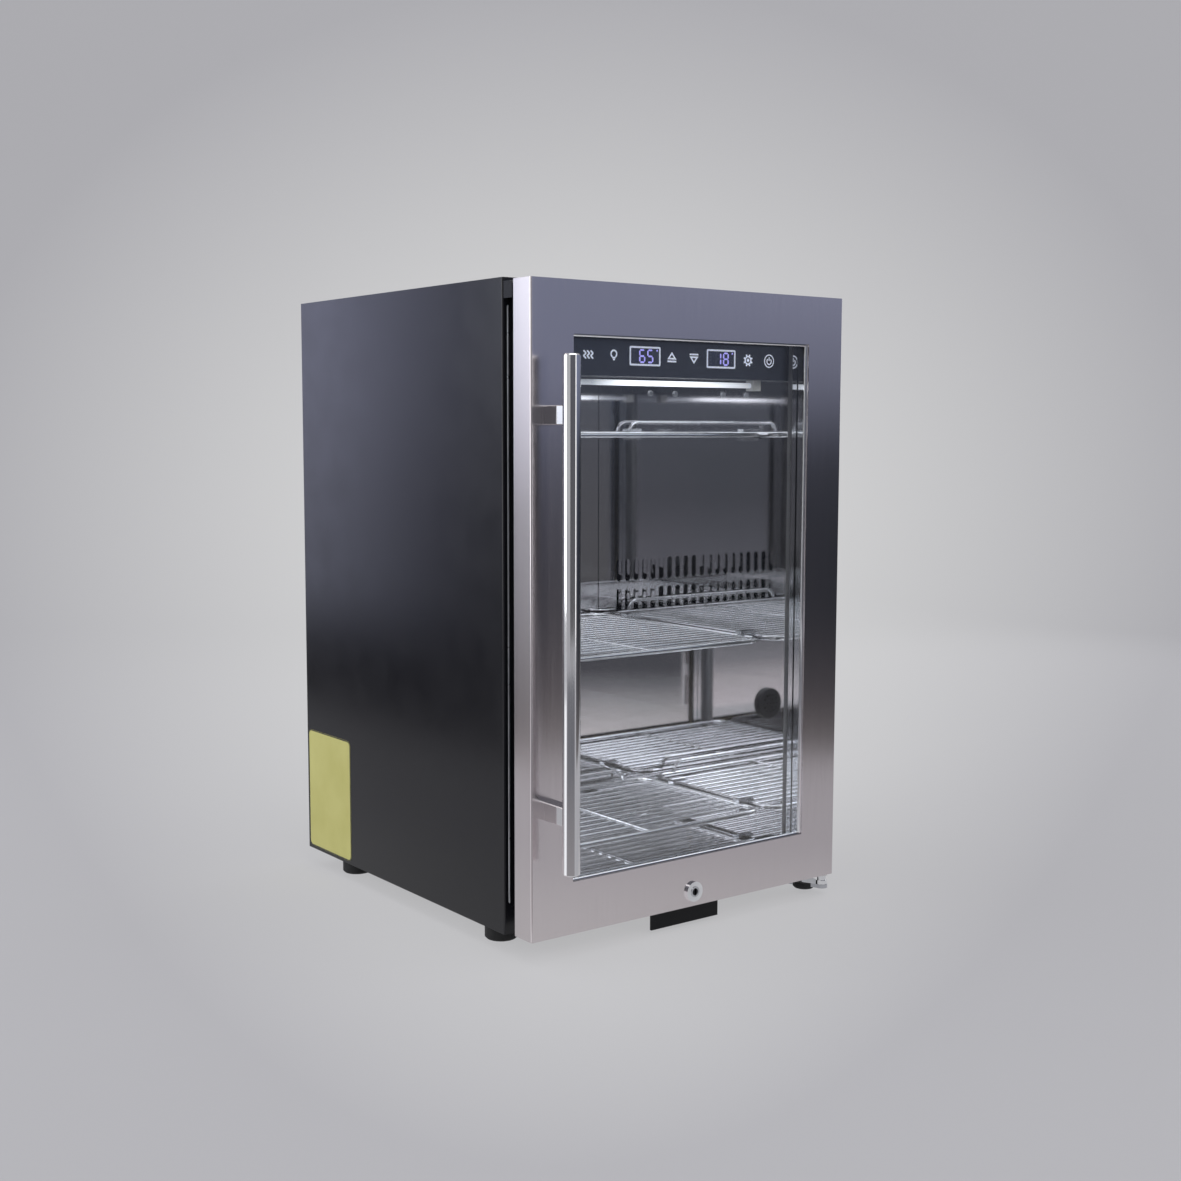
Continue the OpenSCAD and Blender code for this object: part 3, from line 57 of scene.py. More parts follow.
class Finish:
    """A material with one Principled shader, patterned on Object coordinates."""

    def __init__(self, name, **sockets):
        self.material = bpy.data.materials.new(name)
        self.material.use_nodes = True
        self.tree = self.material.node_tree
        self.shader = self.tree.nodes["Principled BSDF"]
        self.place = self.tree.nodes.new("ShaderNodeTexCoord").outputs["Object"]
        for socket, value in sockets.items():
            self.shader.inputs[socket.replace("_", " ")].default_value = value

    def node(self, kind, **settings):
        made = self.tree.nodes.new(kind)
        for key, value in settings.items():
            setattr(made, key, value)
        return made

    def link(self, source, target):
        self.tree.links.new(source, target)

    def fed(self, node, values):
        """Links each socket among the values to the node's inputs, and sets each plain value."""
        for target, value in zip(node.inputs, values):
            if isinstance(value, bpy.types.NodeSocket):
                self.link(value, target)
            else:
                target.default_value = value
        return node.outputs

    def math(self, operation, *values):
        return self.fed(self.node("ShaderNodeMath", operation=operation), values)["Value"]

    def vector(self, operation, *values):
        """Vector arithmetic, whose result is a number for a length or a distance."""
        result = "Value" if operation in ("LENGTH", "DISTANCE") else "Vector"
        return self.fed(self.node("ShaderNodeVectorMath", operation=operation), values)[result]

    def parts(self, vector):
        return self.fed(self.node("ShaderNodeSeparateXYZ"), [vector])

    def mapped(self, **settings):
        """The place after a Location, Rotation and Scale."""
        mapping = self.node("ShaderNodeMapping")
        for socket, value in settings.items():
            mapping.inputs[socket].default_value = value
        self.link(self.place, mapping.inputs["Vector"])
        return mapping.outputs["Vector"]

    def spread(self, value, source, target=(0.0, 1.0)):
        """Carries a value from one range over to another, and stops at its ends."""
        made = self.node("ShaderNodeMapRange")
        for label, (low, high) in (("From", source), ("To", target)):
            made.inputs[label + " Min"].default_value = low
            made.inputs[label + " Max"].default_value = high
        self.link(value, made.inputs["Value"])
        return made.outputs["Result"]

    def along(self, axis, low, high):
        """Where a point lies between two places on one axis, from 0 to 1."""
        return self.spread(self.parts(self.place)[axis], (low, high))

    def grain(self, per_metre, detail=3.0, rough=0.5):
        """Noise with its own number of features per metre along X, Y and Z."""
        noise = self.node("ShaderNodeTexNoise")
        noise.inputs["Scale"].default_value = 1.0
        noise.inputs["Detail"].default_value = detail
        noise.inputs["Roughness"].default_value = rough
        self.link(self.mapped(Scale=per_metre), noise.inputs["Vector"])
        return noise.outputs["Fac"]

    def tones(self, field, stops):
        ramp = self.node("ShaderNodeValToRGB")
        points = ramp.color_ramp.elements
        while len(points) < len(stops):
            points.new(0.5)
        for point, (position, colour) in zip(points, stops):
            point.position = position
            point.color = (*colour, 1.0)
        self.link(field, ramp.inputs["Fac"])
        return ramp.outputs["Color"]

    def colour(self, field, stops):
        self.link(self.tones(field, stops), self.shader.inputs["Base Color"])

    def roughness(self, field, low, high):
        self.link(self.spread(field, NOISE_MIDDLE, (low, high)), self.shader.inputs["Roughness"])

    def relief(self, field, depth, strength=1.0):
        bump = self.node("ShaderNodeBump")
        bump.inputs["Strength"].default_value = strength
        bump.inputs["Distance"].default_value = depth
        self.link(field, bump.inputs["Height"])
        self.link(bump.outputs["Normal"], self.shader.inputs["Normal"])

    def glow(self, tone):
        emission = self.node("ShaderNodeEmission")
        self.link(tone, emission.inputs["Color"])
        return emission

    def surface(self, share, first, second):
        """Shows the first shader, passing to the second by the share."""
        mix = self.node("ShaderNodeMixShader")
        self.link(share, mix.inputs["Fac"])
        self.link(first, mix.inputs[1])
        self.link(second, mix.inputs[2])
        self.link(mix.outputs["Shader"], self.tree.nodes["Material Output"].inputs["Surface"])


def baked_paint(name, dark, light, gloss):
    """Baked paint with a faint orange peel."""
    f = Finish(name, Specular_IOR_Level=gloss)
    f.colour(f.grain((3, 3, 3)), [(0.3, dark), (0.7, light)])
    f.roughness(f.grain((25, 25, 25)), 0.19, 0.25)
    f.relief(f.grain((420, 420, 420), 2.0), 0.00003, 0.4)
    return f.material


def brushed_steel(name, dark, light, marks, rough, depth):
    """Metal ground in one direction: marks is their number per metre along X, Y and Z."""
    f = Finish(name, Metallic=1.0)
    f.colour(f.grain(marks, 4.0, 0.6), [(0.25, dark), (0.75, light)])
    f.roughness(f.grain(tuple(0.6 * m for m in marks)), *rough)
    f.relief(f.grain(marks, 2.0), depth, 0.5)
    return f.material


def plated_metal(name, dark, light, rough):
    f = Finish(name, Metallic=1.0)
    f.colour(f.grain((40, 40, 40)), [(0.3, dark), (0.7, light)])
    f.roughness(f.grain((90, 90, 90), 4.0), *rough)
    f.relief(f.grain((300, 300, 300)), 0.00001, 0.2)
    return f.material


def moulding(name, dark, light, rough, depth=0.00006):
    f = Finish(name, Specular_IOR_Level=0.45)
    f.colour(f.grain((60, 60, 60)), [(0.3, dark), (0.7, light)])
    f.roughness(f.grain((200, 200, 200)), *rough)
    f.relief(f.grain((1500, 1500, 1500), 2.0), depth, 0.5)
    return f.material


def glowing(name, dark, light, strength):
    """A lit face whose light has the same slight unevenness as its colour."""
    f = Finish(name, Roughness=0.4, Emission_Strength=strength)
    tone = f.tones(f.grain((400, 400, 400)), [(0.3, dark), (0.7, light)])
    f.link(tone, f.shader.inputs["Base Color"])
    f.link(tone, f.shader.inputs["Emission Color"])
    return f.material


def lamp_glass():
    """Frosted tube that glows in its middle and is grey toward both ends."""
    f = Finish("lamp_glass", Roughness=0.35, Emission_Strength=1.6)
    f.colour(f.grain((300, 300, 300)), [(0.3, (0.8, 0.83, 0.9)), (0.7, (0.95, 0.96, 1.0))])
    half_length = 0.143
    glow = f.tones(f.along("X", -half_length, half_length), [
        (0.0, (0.05, 0.05, 0.06)), (0.18, (0.16, 0.17, 0.19)), (0.34, (0.9, 0.93, 1.0)),
        (0.66, (0.9, 0.93, 1.0)), (0.84, (0.5, 0.52, 0.56)), (1.0, (0.12, 0.12, 0.14))])
    f.link(glow, f.shader.inputs["Emission Color"])
    return f.material


def clear_pane():
    f = Finish("clear_pane", Transmission_Weight=1.0, IOR=1.45)
    f.colour(f.grain((5, 5, 5)), [(0.3, (0.95, 0.965, 0.965)), (0.7, (0.98, 0.985, 0.985))])
    f.roughness(f.grain((12, 12, 12)), 0.0, 0.004)
    return f.material


def gasket_rubber():
    """Black rubber ring with a grey lip on the side of the pane."""
    f = Finish("gasket_rubber", Specular_IOR_Level=0.4)
    low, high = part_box("door_gasket")
    half = [(high[i] - low[i]) / 2 for i in range(3)]
    middle = [(high[i] + low[i]) / 2 for i in range(3)]
    centred = f.mapped(
        Scale=(1 / half[0], 0, 1 / half[2]), Location=(-middle[0] / half[0], 0, -middle[2] / half[2]))
    apart = f.parts(f.vector("ABSOLUTE", centred))
    f.colour(f.math("MAXIMUM", apart["X"], apart["Z"]), [
        (0.962, (0.40, 0.40, 0.41)), (0.978, (0.014, 0.014, 0.015)), (1.0, (0.011, 0.011, 0.012))])
    skin = f.grain((700, 700, 700))
    f.roughness(skin, 0.5, 0.7)
    f.relief(skin, 0.00008, 0.5)
    return f.material


def lock_face():
    """Steel lock plug with a painted dark disc in its middle, which stands for the shade in its keyhole."""
    f = Finish("lock_face", Metallic=1.0)
    low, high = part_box("lock_plug")
    middle = ((low[0] + high[0]) / 2, 0, (low[2] + high[2]) / 2)
    radius = (high[0] - low[0]) / 2
    away = f.vector("DISTANCE", f.vector("MULTIPLY", f.place, (1, 0, 1)), middle)
    # Painted shade: near-black out to about three fifths of the radius, then steel
    f.colour(f.spread(away, (0.0, radius)), [
        (0.0, (0.02, 0.02, 0.022)), (0.58, (0.025, 0.025, 0.028)), (0.68, (0.50, 0.51, 0.53)),
        (1.0, (0.62, 0.63, 0.65))])
    f.roughness(f.grain((90, 90, 90), 4.0), 0.12, 0.22)
    return f.material


def label_stock():
    """Coated yellow label paper with faint blotches."""
    f = Finish("label_stock", Specular_IOR_Level=0.5)
    fibre = f.grain((900, 900, 900), 4.0)
    f.colour(f.grain((14, 14, 14)), [(0.3, (0.53, 0.50, 0.15)), (0.7, (0.62, 0.59, 0.21))])
    f.roughness(fibre, 0.34, 0.46)
    f.relief(fibre, 0.00002, 0.4)
    return f.material


# By material slot: colours from dark to light, then gloss or roughness
FINISH = {
    "charcoal_paint": baked_paint(
        "charcoal_paint", (0.0065, 0.0065, 0.0088), (0.0095, 0.0095, 0.0122), 0.36),
    "black_paint": baked_paint("black_paint", (0.003, 0.003, 0.004), (0.006, 0.006, 0.007), 0.2),
    "galvanised": plated_metal("galvanised", (0.42, 0.44, 0.46), (0.6, 0.62, 0.63), (0.3, 0.5)),
    "foam": moulding("foam", (0.62, 0.5, 0.28), (0.75, 0.64, 0.4), (0.8, 0.95), 0.0004),
    "polished_steel": brushed_steel(
        "polished_steel", (0.85, 0.84, 0.85), (0.91, 0.90, 0.91), (8, 8, 900), (0.02, 0.05), 0.0000006),
    "shelf_wire": plated_metal("shelf_wire", (0.84, 0.85, 0.88), (0.93, 0.94, 0.96), (0.12, 0.22)),
    "heater_steel": plated_metal("heater_steel", (0.16, 0.14, 0.13), (0.3, 0.28, 0.26), (0.4, 0.6)),
    "coil_aluminium": plated_metal("coil_aluminium", (0.6, 0.62, 0.64), (0.76, 0.77, 0.78), (0.25, 0.4)),
    "dark_plastic": moulding("dark_plastic", (0.012, 0.012, 0.013), (0.02, 0.02, 0.022), (0.42, 0.6)),
    "panel_black": moulding(
        "panel_black", (0.022, 0.024, 0.031), (0.028, 0.030, 0.039), (0.14, 0.24), 0.000004),
    "display_dark": moulding(
        "display_dark", (0.030, 0.034, 0.070), (0.045, 0.050, 0.095), (0.1, 0.2), 0.000004),
    "board_green": moulding("board_green", (0.02, 0.1, 0.04), (0.04, 0.16, 0.07), (0.3, 0.45)),
    "lamp_white": lamp_glass(),
    "white_plastic": moulding("white_plastic", (0.7, 0.7, 0.68), (0.82, 0.82, 0.8), (0.4, 0.55)),
    "black_rubber": moulding(
        "black_rubber", (0.01, 0.01, 0.011), (0.018, 0.018, 0.019), (0.6, 0.8), 0.0001),
    "copper": plated_metal("copper", (0.62, 0.3, 0.16), (0.8, 0.43, 0.26), (0.22, 0.4)),
    "chrome": plated_metal("chrome", (0.78, 0.79, 0.81), (0.9, 0.91, 0.92), (0.03, 0.09)),
    "screw_steel": plated_metal("screw_steel", (0.42, 0.43, 0.45), (0.62, 0.63, 0.65), (0.25, 0.4)),
    "door_steel": brushed_steel(
        "door_steel", (0.67, 0.622, 0.63), (0.74, 0.690, 0.698), (3200, 3200, 14), (0.15, 0.22), 0.000004),
    "clear_glass": clear_pane(),
    "spacer_aluminium": plated_metal(
        "spacer_aluminium", (0.80, 0.81, 0.83), (0.90, 0.91, 0.93), (0.04, 0.08)),
    "handle_steel": brushed_steel(
        "handle_steel", (0.74, 0.74, 0.75), (0.86, 0.86, 0.87), (2400, 2400, 16), (0.06, 0.12), 0.000002),
}
# Painted glow: the white key symbols are print given a light of their own, though no lamp lights them
PRINT_WHITE_GLOW = glowing("print_white_painted_glow", (0.55, 0.58, 0.69), (0.67, 0.70, 0.80), 0.75)
# Painted glow: the pale edge round each display is print given a light of its own, though no lamp lights it
DISPLAY_EDGE_GLOW = glowing("display_edge", (0.50, 0.53, 0.66), (0.66, 0.69, 0.80), 0.75)
SEGMENT_LIT = glowing("segment_lit", (0.30, 0.27, 0.74), (0.40, 0.37, 0.88), 1.0)
SEGMENT_OFF = moulding("segment_off", (0.055, 0.06, 0.11), (0.07, 0.075, 0.13), (0.15, 0.25), 0.000004)
LABEL_STOCK = label_stock()
REAR_PAINT = baked_paint("rear_paint", (0.011, 0.011, 0.012), (0.017, 0.017, 0.0185), 0.36)

# Nodes whose finish differs from that of their slot
NODE_FINISH = {
    "lock_plug": lock_face(),
    "hinge_blank_cap": FINISH["black_paint"],
    "lower_hinge_plate": plated_metal("hinge_chrome", (0.40, 0.41, 0.44), (0.56, 0.57, 0.60), (0.05, 0.12)),
    "door_gasket": gasket_rubber(),
    **{node: REAR_PAINT for node in ("back_panel", "bay_cover", "base_pan")},
}
LABEL_EDGE = moulding("label_edge", (0.008, 0.008, 0.008), (0.014, 0.014, 0.012), (0.35, 0.5), 0.00001)

for part in frame["record"]["subparts"]:
    node = frame["nodes"][part["node"]]
    node.data.materials.clear()
    node.data.materials.append(NODE_FINISH.get(part["node"], FINISH[part["material_slot"]]))
for pane in ("outer_glass", "inner_glass"):
    frame["nodes"][pane].visible_shadow = False


# Pieces made here

def add_mesh(name, shape, finish):
    """Turns a shape into an object of one finish, with its place in the mesh."""
    mesh = bpy.data.meshes.new(name)
    shape.to_mesh(mesh)
    shape.free()
    mesh.materials.append(finish)
    made = bpy.data.objects.new(name, mesh)
    bpy.context.scene.collection.objects.link(made)
    return made


def add_piece(name, shape, finish, body):
    """Adds a piece that rides a body."""
    piece = add_mesh(name, shape, finish)
    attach(piece, body)


# Flat prints: outlines in millimetres, raised a hair above the face that carries them

# How deep a print's underside lies in that face
PRINT_SINK = 0.00005
FORWARD = (0, -1, 0)
LEFTWARD = (-1, 0, 0)


def arc(centre, radius, start, end, steps=28):
    """Points on a circle, angles in degrees counted from the right, upward."""
    angles = [math.radians(start + (end - start) * i / steps) for i in range(steps + 1)]
    return [(centre[0] + radius * math.cos(a), centre[1] + radius * math.sin(a)) for a in angles]


def rounded_rectangle(width, height, radius):
    points = []
    for x, y, start in ((1, 1, 0), (-1, 1, 90), (-1, -1, 180), (1, -1, 270)):
        points += arc((x * (width / 2 - radius), y * (height / 2 - radius)), radius, start, start + 90, 6)
    return points


class Print:
    """One thin printed or stuck-on layer, made of filled shapes and lines."""

    def __init__(self, name, finish, onto):
        self.name, self.finish, self.onto = name, finish, onto
        self.shape = bmesh.new()

    def fill(self, points, at=(0, 0)):
        self.shape.faces.new([self.shape.verts.new(self.onto(x + at[0], y + at[1])) for x, y in points])

    def line(self, points, width, at=(0, 0), closed=False):
        """A strip of even width along the points, with mitred turns."""
        least_mitre = 0.35
        path = [Vector(p) for p in points]
        if closed and (path[0] - path[-1]).length < 1e-6:
            path.pop()
        count = len(path)
        edges = []
        for i, here in enumerate(path):
            before = path[i - 1] if closed or i else None
            after = path[(i + 1) % count] if closed or i < count - 1 else None
            into = (here - before).normalized() if before else (after - here).normalized()
            out = (after - here).normalized() if after else into
            side = Vector((-(into + out).y, (into + out).x)).normalized()
            reach = width / 2 / max(least_mitre, side.dot(Vector((-into.y, into.x))))
            edges.append([self.shape.verts.new(self.onto(p.x + at[0], p.y + at[1]))
                          for p in (here + side * reach, here - side * reach)])
        for i in range(count if closed else count - 1):
            a, b = edges[i], edges[(i + 1) % count]
            self.shape.faces.new((a[0], a[1], b[1], b[0]))

    def make(self, outward, thickness, body):
        """Gives the layer its thickness and puts it on a body."""
        outward = Vector(outward)
        faces = list(self.shape.faces)
        bmesh.ops.recalc_face_normals(self.shape, faces=faces)
        for face in faces:
            face.normal_update()
            if face.normal.dot(outward) < 0:
                face.normal_flip()
        grown = bmesh.ops.extrude_face_region(self.shape, geom=faces, use_keep_orig=True)
        lifted = [v for v in grown["geom"] if isinstance(v, bmesh.types.BMVert)]
        bmesh.ops.translate(self.shape, verts=lifted, vec=outward * thickness)
        bmesh.ops.reverse_faces(self.shape, faces=faces)
        bmesh.ops.recalc_face_normals(self.shape, faces=list(self.shape.faces))
        add_piece(self.name, self.shape, self.finish, body)


# Width of most strokes of the key symbols, in millimetres
STROKE = 1.8


def heat_symbol(keys, at):
    """Three rising waves."""
    rises = [-4.4 + 0.8 * i for i in range(12)]
    for shift in (-4.6, 0.0, 4.6):
        keys.line([(shift + 1.3 * math.sin(1.15 * z), z) for z in rises], STROKE, at)


def lamp_symbol(keys, at):
    """A bulb over two short bars."""
    keys.line(arc((0, 1.0), 3.7, -55, 235), STROKE, at)
    for half, z in ((2.1, -2.9), (1.3, -4.9)):
        keys.line([(-half, z), (half, z)], STROKE, at)


def arrow_symbol(keys, at, turn):
    """A triangle over a bar, or the other way round where turn is -1."""
    keys.line([(-4.6, -1.2 * turn), (0, 4.6 * turn), (4.6, -1.2 * turn)], STROKE, at, closed=True)
    keys.line([(-6.2, -4.2 * turn), (6.2, -4.2 * turn)], STROKE, at)


def gear_symbol(keys, at):
    """A ring with eight teeth and a plus sign in it."""
    keys.line(arc((0, 0), 4.3, 0, 360), STROKE, at, closed=True)
    for i in range(8):
        a = math.radians(45 * i + 22.5)
        keys.line([(r * math.cos(a), r * math.sin(a)) for r in (5.0, 6.9)], 2.0, at)
    for tip in ((1.9, 0), (0, 1.9)):
        keys.line([(-tip[0], -tip[1]), tip], STROKE, at)


def power_symbol(keys, at):
    """An open ring and a stroke in a closed ring."""
    keys.line(arc((0, 0), 6.9, 0, 360, 40), 1.3, at, closed=True)
    keys.line(arc((0, -0.4), 3.3, 128, 412), 1.4, at)
    keys.line([(0, 0.2), (0, 4.4)], 1.4, at)


def control_symbols():
    """Six key symbols on the control panel: heat, lamp, up, down, settings and power, printed in white with
    a painted glow.
    """
    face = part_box("control_fascia")[0][1]
    level = 0.6206

    def on_panel(x, z):
        return (x * MM, face + PRINT_SINK, level + z * MM)

    keys = Print("control_symbols", PRINT_WHITE_GLOW, on_panel)
    heat_symbol(keys, (-109.0, 0))
    lamp_symbol(keys, (-75.5, 0.6))
    arrow_symbol(keys, (3.8, 0), 1)
    arrow_symbol(keys, (35.1, 0), -1)
    gear_symbol(keys, (114.9, 0))
    power_symbol(keys, (147.1, 0))
    keys.make(FORWARD, 0.00012, "cabinet")


# A numeral's parts as ends on a grid of half widths and half heights
SEGMENTS = {
    "a": ((-1, 2), (1, 2)), "b": ((1, 2), (1, 0)), "c": ((1, 0), (1, -2)), "d": ((-1, -2), (1, -2)),
    "e": ((-1, 0), (-1, -2)), "f": ((-1, 2), (-1, 0)), "g": ((-1, 0), (1, 0)),
}
NUMERALS = {"1": "bc", "5": "acdfg", "6": "acdefg", "8": "abcdefg"}


def segment_outline(ends):
    """One part of a numeral: a bar with pointed ends that stop short of its neighbours."""
    half_width, half_height, bar, gap = 3.3, 3.2, 1.9, 0.35
    start, end = [Vector((x * half_width, z * half_height)) for x, z in ends]
    step = (end - start).normalized()
    side = Vector((-step.y, step.x)) * bar / 2
    tip = step * bar / 2
    start, end = start + step * gap, end - step * gap
    outline = (start, start + tip + side, end - tip + side, end, end - tip - side, start + tip - side)
    return [tuple(p) for p in outline]


def display_digits():
    """On each display a pale edge with a painted glow, two seven-part numerals, a column of unlit marks and
    a lit dot.
    """
    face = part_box("display_modules")[0][1]
    level = 0.621

    def on_display(x, z):
        return (x * MM, face + PRINT_SINK, level + z * MM)

    edge = Print("display_edges", DISPLAY_EDGE_GLOW, on_display)
    lit = Print("display_numerals", SEGMENT_LIT, on_display)
    off = Print("display_rests", SEGMENT_OFF, on_display)
    for centre, number in ((-33.0, "65"), (75.0, "18")):
        edge.line(rounded_rectangle(40.4, 18.6, 0.8), 2.0, (centre, 0), closed=True)
        for place, numeral in zip((-4.0, 7.0), number):
            for name, ends in SEGMENTS.items():
                layer = lit if name in NUMERALS[numeral] else off
                layer.fill(segment_outline(ends), (centre + place, 0))
        for row in range(4):
            mark = [(-1.6, -0.7), (1.6, -0.7), (1.6, 0.7), (-1.6, 0.7)]
            off.fill(mark, (centre - 15.5, 5.4 - 3.6 * row))
        lit.fill(arc((0, 0), 1.1, 0, 330, 11), (centre + 16.4, 6.2))
    edge.make(FORWARD, 0.00018, "cabinet")
    lit.make(FORWARD, 0.00014, "cabinet")
    off.make(FORWARD, 0.0001, "cabinet")


def side_label():
    """Bare label with rounded corners, low at the rear of the left side."""
    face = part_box("left_panel")[0][0]
    middle = (210.0, 98.0)

    def on_side(y, z):
        return (face + PRINT_SINK, y * MM, z * MM)

    paper = Print("side_label", LABEL_STOCK, on_side)
    paper.fill(rounded_rectangle(107.0, 147.0, 7.0), middle)
    paper.make(LEFTWARD, 0.00025, "cabinet")
    rim = Print("side_label_edge", LABEL_EDGE, on_side)
    rim.line(rounded_rectangle(105.4, 145.4, 6.2), 1.3, middle, closed=True)
    rim.make(LEFTWARD, 0.0003, "cabinet")


# Beads

def glazing_bead():
    """Quarter-round polished bead in the corner between the window's returned edge and the pane."""
    low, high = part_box("outer_glass")
    lap, radius, clear = 0.010, 0.0026, 0.00002
    face = low[1] - clear
    half, bottom, top = high[0] - lap - clear, low[2] + lap + clear, high[2] - lap - clear
    angles = [math.radians(11.25 * i) for i in range(9)]
    section = [(0.0, 0.0)] + [(radius * math.sin(a), radius * math.cos(a)) for a in angles]
    shape = bmesh.new()
    loops = []
    for inward, rise in section:
        x, y, foot, head = half - inward, face - rise, bottom + inward, top - inward
        corners = ((-x, y, foot), (x, y, foot), (x, y, head), (-x, y, head))
        loops.append([shape.verts.new(corner) for corner in corners])
    for i, loop in enumerate(loops):
        after = loops[(i + 1) % len(loops)]
        for j in range(4):
            side = shape.faces.new((loop[j], loop[(j + 1) % 4], after[(j + 1) % 4], after[j]))
            side.smooth = 0 < i < len(loops) - 1
    bmesh.ops.recalc_face_normals(shape, faces=list(shape.faces))
    shape.verts.index_update()
    for edge in shape.edges:
        a, b = (v.index % 4 for v in edge.verts)
        edge.smooth = a != b
    add_piece("glazing_bead", shape, FINISH["spacer_aluminium"], "door")


def front_edge_beads():
    """Half-round stiffening beads, one up each side of the case's front edge, in steel grey rather than the
    flange's charcoal paint, a painted highlight line.
    """
    half_width, rise, inset, clear = 0.0013, 0.0011, 0.0062, 0.00003
    tip, tip_share, head_gap = 0.002, 0.4, 0.006
    (left, front, _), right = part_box("left_panel")[0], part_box("right_panel")[1][0]
    base = front - clear
    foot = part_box("inner_liner")[0][2]
    angles = [math.radians(18 * i) for i in range(11)]
    section = [(half_width * math.cos(a), -rise * math.sin(a)) for a in angles]
    shape = bmesh.new()
    for middle, stopper in ((left + inset, "hinge_blank_cap"), (right - inset, "upper_hinge_bracket")):
        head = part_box(stopper)[0][2] - head_gap
        rings = []
        for z, share in ((foot, tip_share), (foot + tip, 1.0), (head - tip, 1.0), (head, tip_share)):
            rings.append([shape.verts.new((middle + x * share, base + y * share, z)) for x, y in section])
        for low, high in zip(rings, rings[1:]):
            for i in range(len(section)):
                j = (i + 1) % len(section)
                shape.faces.new((low[i], low[j], high[j], high[i])).smooth = j > i
        shape.faces.new(rings[0])
        shape.faces.new(rings[-1])
    bmesh.ops.recalc_face_normals(shape, faces=list(shape.faces))
    # The steel grey stands in for the highlight a painted bead would catch
    add_piece("front_edge_beads", shape, FINISH["screw_steel"], "cabinet")


# Screws

class NodeTree:
    """A geometry node tree with named inputs for its sizes."""

    def __init__(self, name, inputs):
        self.tree = bpy.data.node_groups.new(name, "GeometryNodeTree")
        self.sockets = {}
        for label, kind in inputs:
            self.sockets[label] = self.tree.interface.new_socket(label, in_out="INPUT", socket_type=kind)
        self.tree.interface.new_socket("Mesh", in_out="OUTPUT", socket_type="NodeSocketGeometry")
        self.given = self.tree.nodes.new("NodeGroupInput").outputs
        self.result = self.tree.nodes.new("NodeGroupOutput").inputs[0]

    def link(self, source, target):
        self.tree.links.new(source, target)

    def node(self, kind, feeds=None, **settings):
        """Adds a node, with each input linked to a socket or set to a plain value."""
        made = self.tree.nodes.new(kind)
        for key, value in settings.items():
            setattr(made, key, value)
        for socket, source in (feeds or {}).items():
            if isinstance(source, bpy.types.NodeSocket):
                self.link(source, made.inputs[socket])
            else:
                made.inputs[socket].default_value = source
        return made

    def math(self, operation, a, b):
        return self.node("ShaderNodeMath", {0: a, 1: b}, operation=operation).outputs[0]

    def vector(self, x, y, z):
        return self.node("ShaderNodeCombineXYZ", {"X": x, "Y": y, "Z": z}).outputs[0]

    def raised(self, mesh, height):
        return self.node("GeometryNodeTransform", {
            "Geometry": mesh, "Translation": self.vector(0.0, 0.0, height)}).outputs[0]

    def rod(self, radius, depth, sides, steps):
        return self.node("GeometryNodeMeshCylinder", {
            "Vertices": sides, "Side Segments": steps, "Radius": radius, "Depth": depth}).outputs["Mesh"]


def screw_head(t):
    """A crowned head that stands on its seat, with a cross recess cut into its top."""
    taper, recess_reach = 0.22, 0.56
    wide, tall = t.given["Head Diameter"], t.given["Head Height"]
    half_tall = t.math("MULTIPLY", tall, 0.5)
    blank = t.rod(t.math("MULTIPLY", wide, 0.5), tall, sides=28, steps=5)
    place = t.node("GeometryNodeInputPosition").outputs[0]
    height = t.node("ShaderNodeSeparateXYZ", {0: place}).outputs["Z"]
    rise = t.math("ADD", t.math("DIVIDE", height, tall), 0.5)
    shrink = t.math("SUBTRACT", 1.0, t.math("MULTIPLY", t.math("POWER", rise, 3.0), taper))
    crown = t.node("ShaderNodeVectorMath", {
        0: place, 1: t.vector(shrink, shrink, 1.0)}, operation="MULTIPLY").outputs[0]
    crowned = t.node("GeometryNodeSetPosition", {"Geometry": blank, "Position": crown}).outputs[0]
    reach = t.math("MULTIPLY", wide, recess_reach)
    deep = t.math("MULTIPLY", t.given["Recess Depth"], 2.0)
    cut = t.node("GeometryNodeMeshBoolean", {"Mesh 1": crowned}, operation="DIFFERENCE")
    for size in ((reach, t.given["Recess Width"]), (t.given["Recess Width"], reach)):
        bar = t.node("GeometryNodeMeshCube", {"Size": t.vector(*size, deep)}).outputs["Mesh"]
        t.link(t.raised(bar, half_tall), cut.inputs["Mesh 2"])
    return t.raised(cut.outputs["Mesh"], half_tall)


def screw_shank(t):
    length = t.given["Shank Length"]
    shank = t.rod(t.math("MULTIPLY", t.given["Shank Diameter"], 0.5), length, sides=20, steps=1)
    return t.raised(shank, t.math("MULTIPLY", length, -0.5))


def screw_turn(t):
    """Along the point's axis, with the recess at a random angle."""
    most_turn = 1.4
    axis = t.node("GeometryNodeInputNamedAttribute", {"Name": "axis"}, data_type="FLOAT_VECTOR")
    aligned = t.node("FunctionNodeAlignRotationToVector", {"Vector": axis.outputs["Attribute"]}, axis="Z")
    angle = t.node("FunctionNodeRandomValue", {"Min": 0.0, "Max": most_turn, "Seed": 7}, data_type="FLOAT")
    about = t.node("FunctionNodeAxisAngleToRotation", {
        "Axis": (0.0, 0.0, 1.0), "Angle": angle.outputs["Value"]})
    return t.node("FunctionNodeRotateRotation", {
        "Rotation": aligned.outputs[0], "Rotate By": about.outputs[0]}, rotation_space="LOCAL").outputs[0]


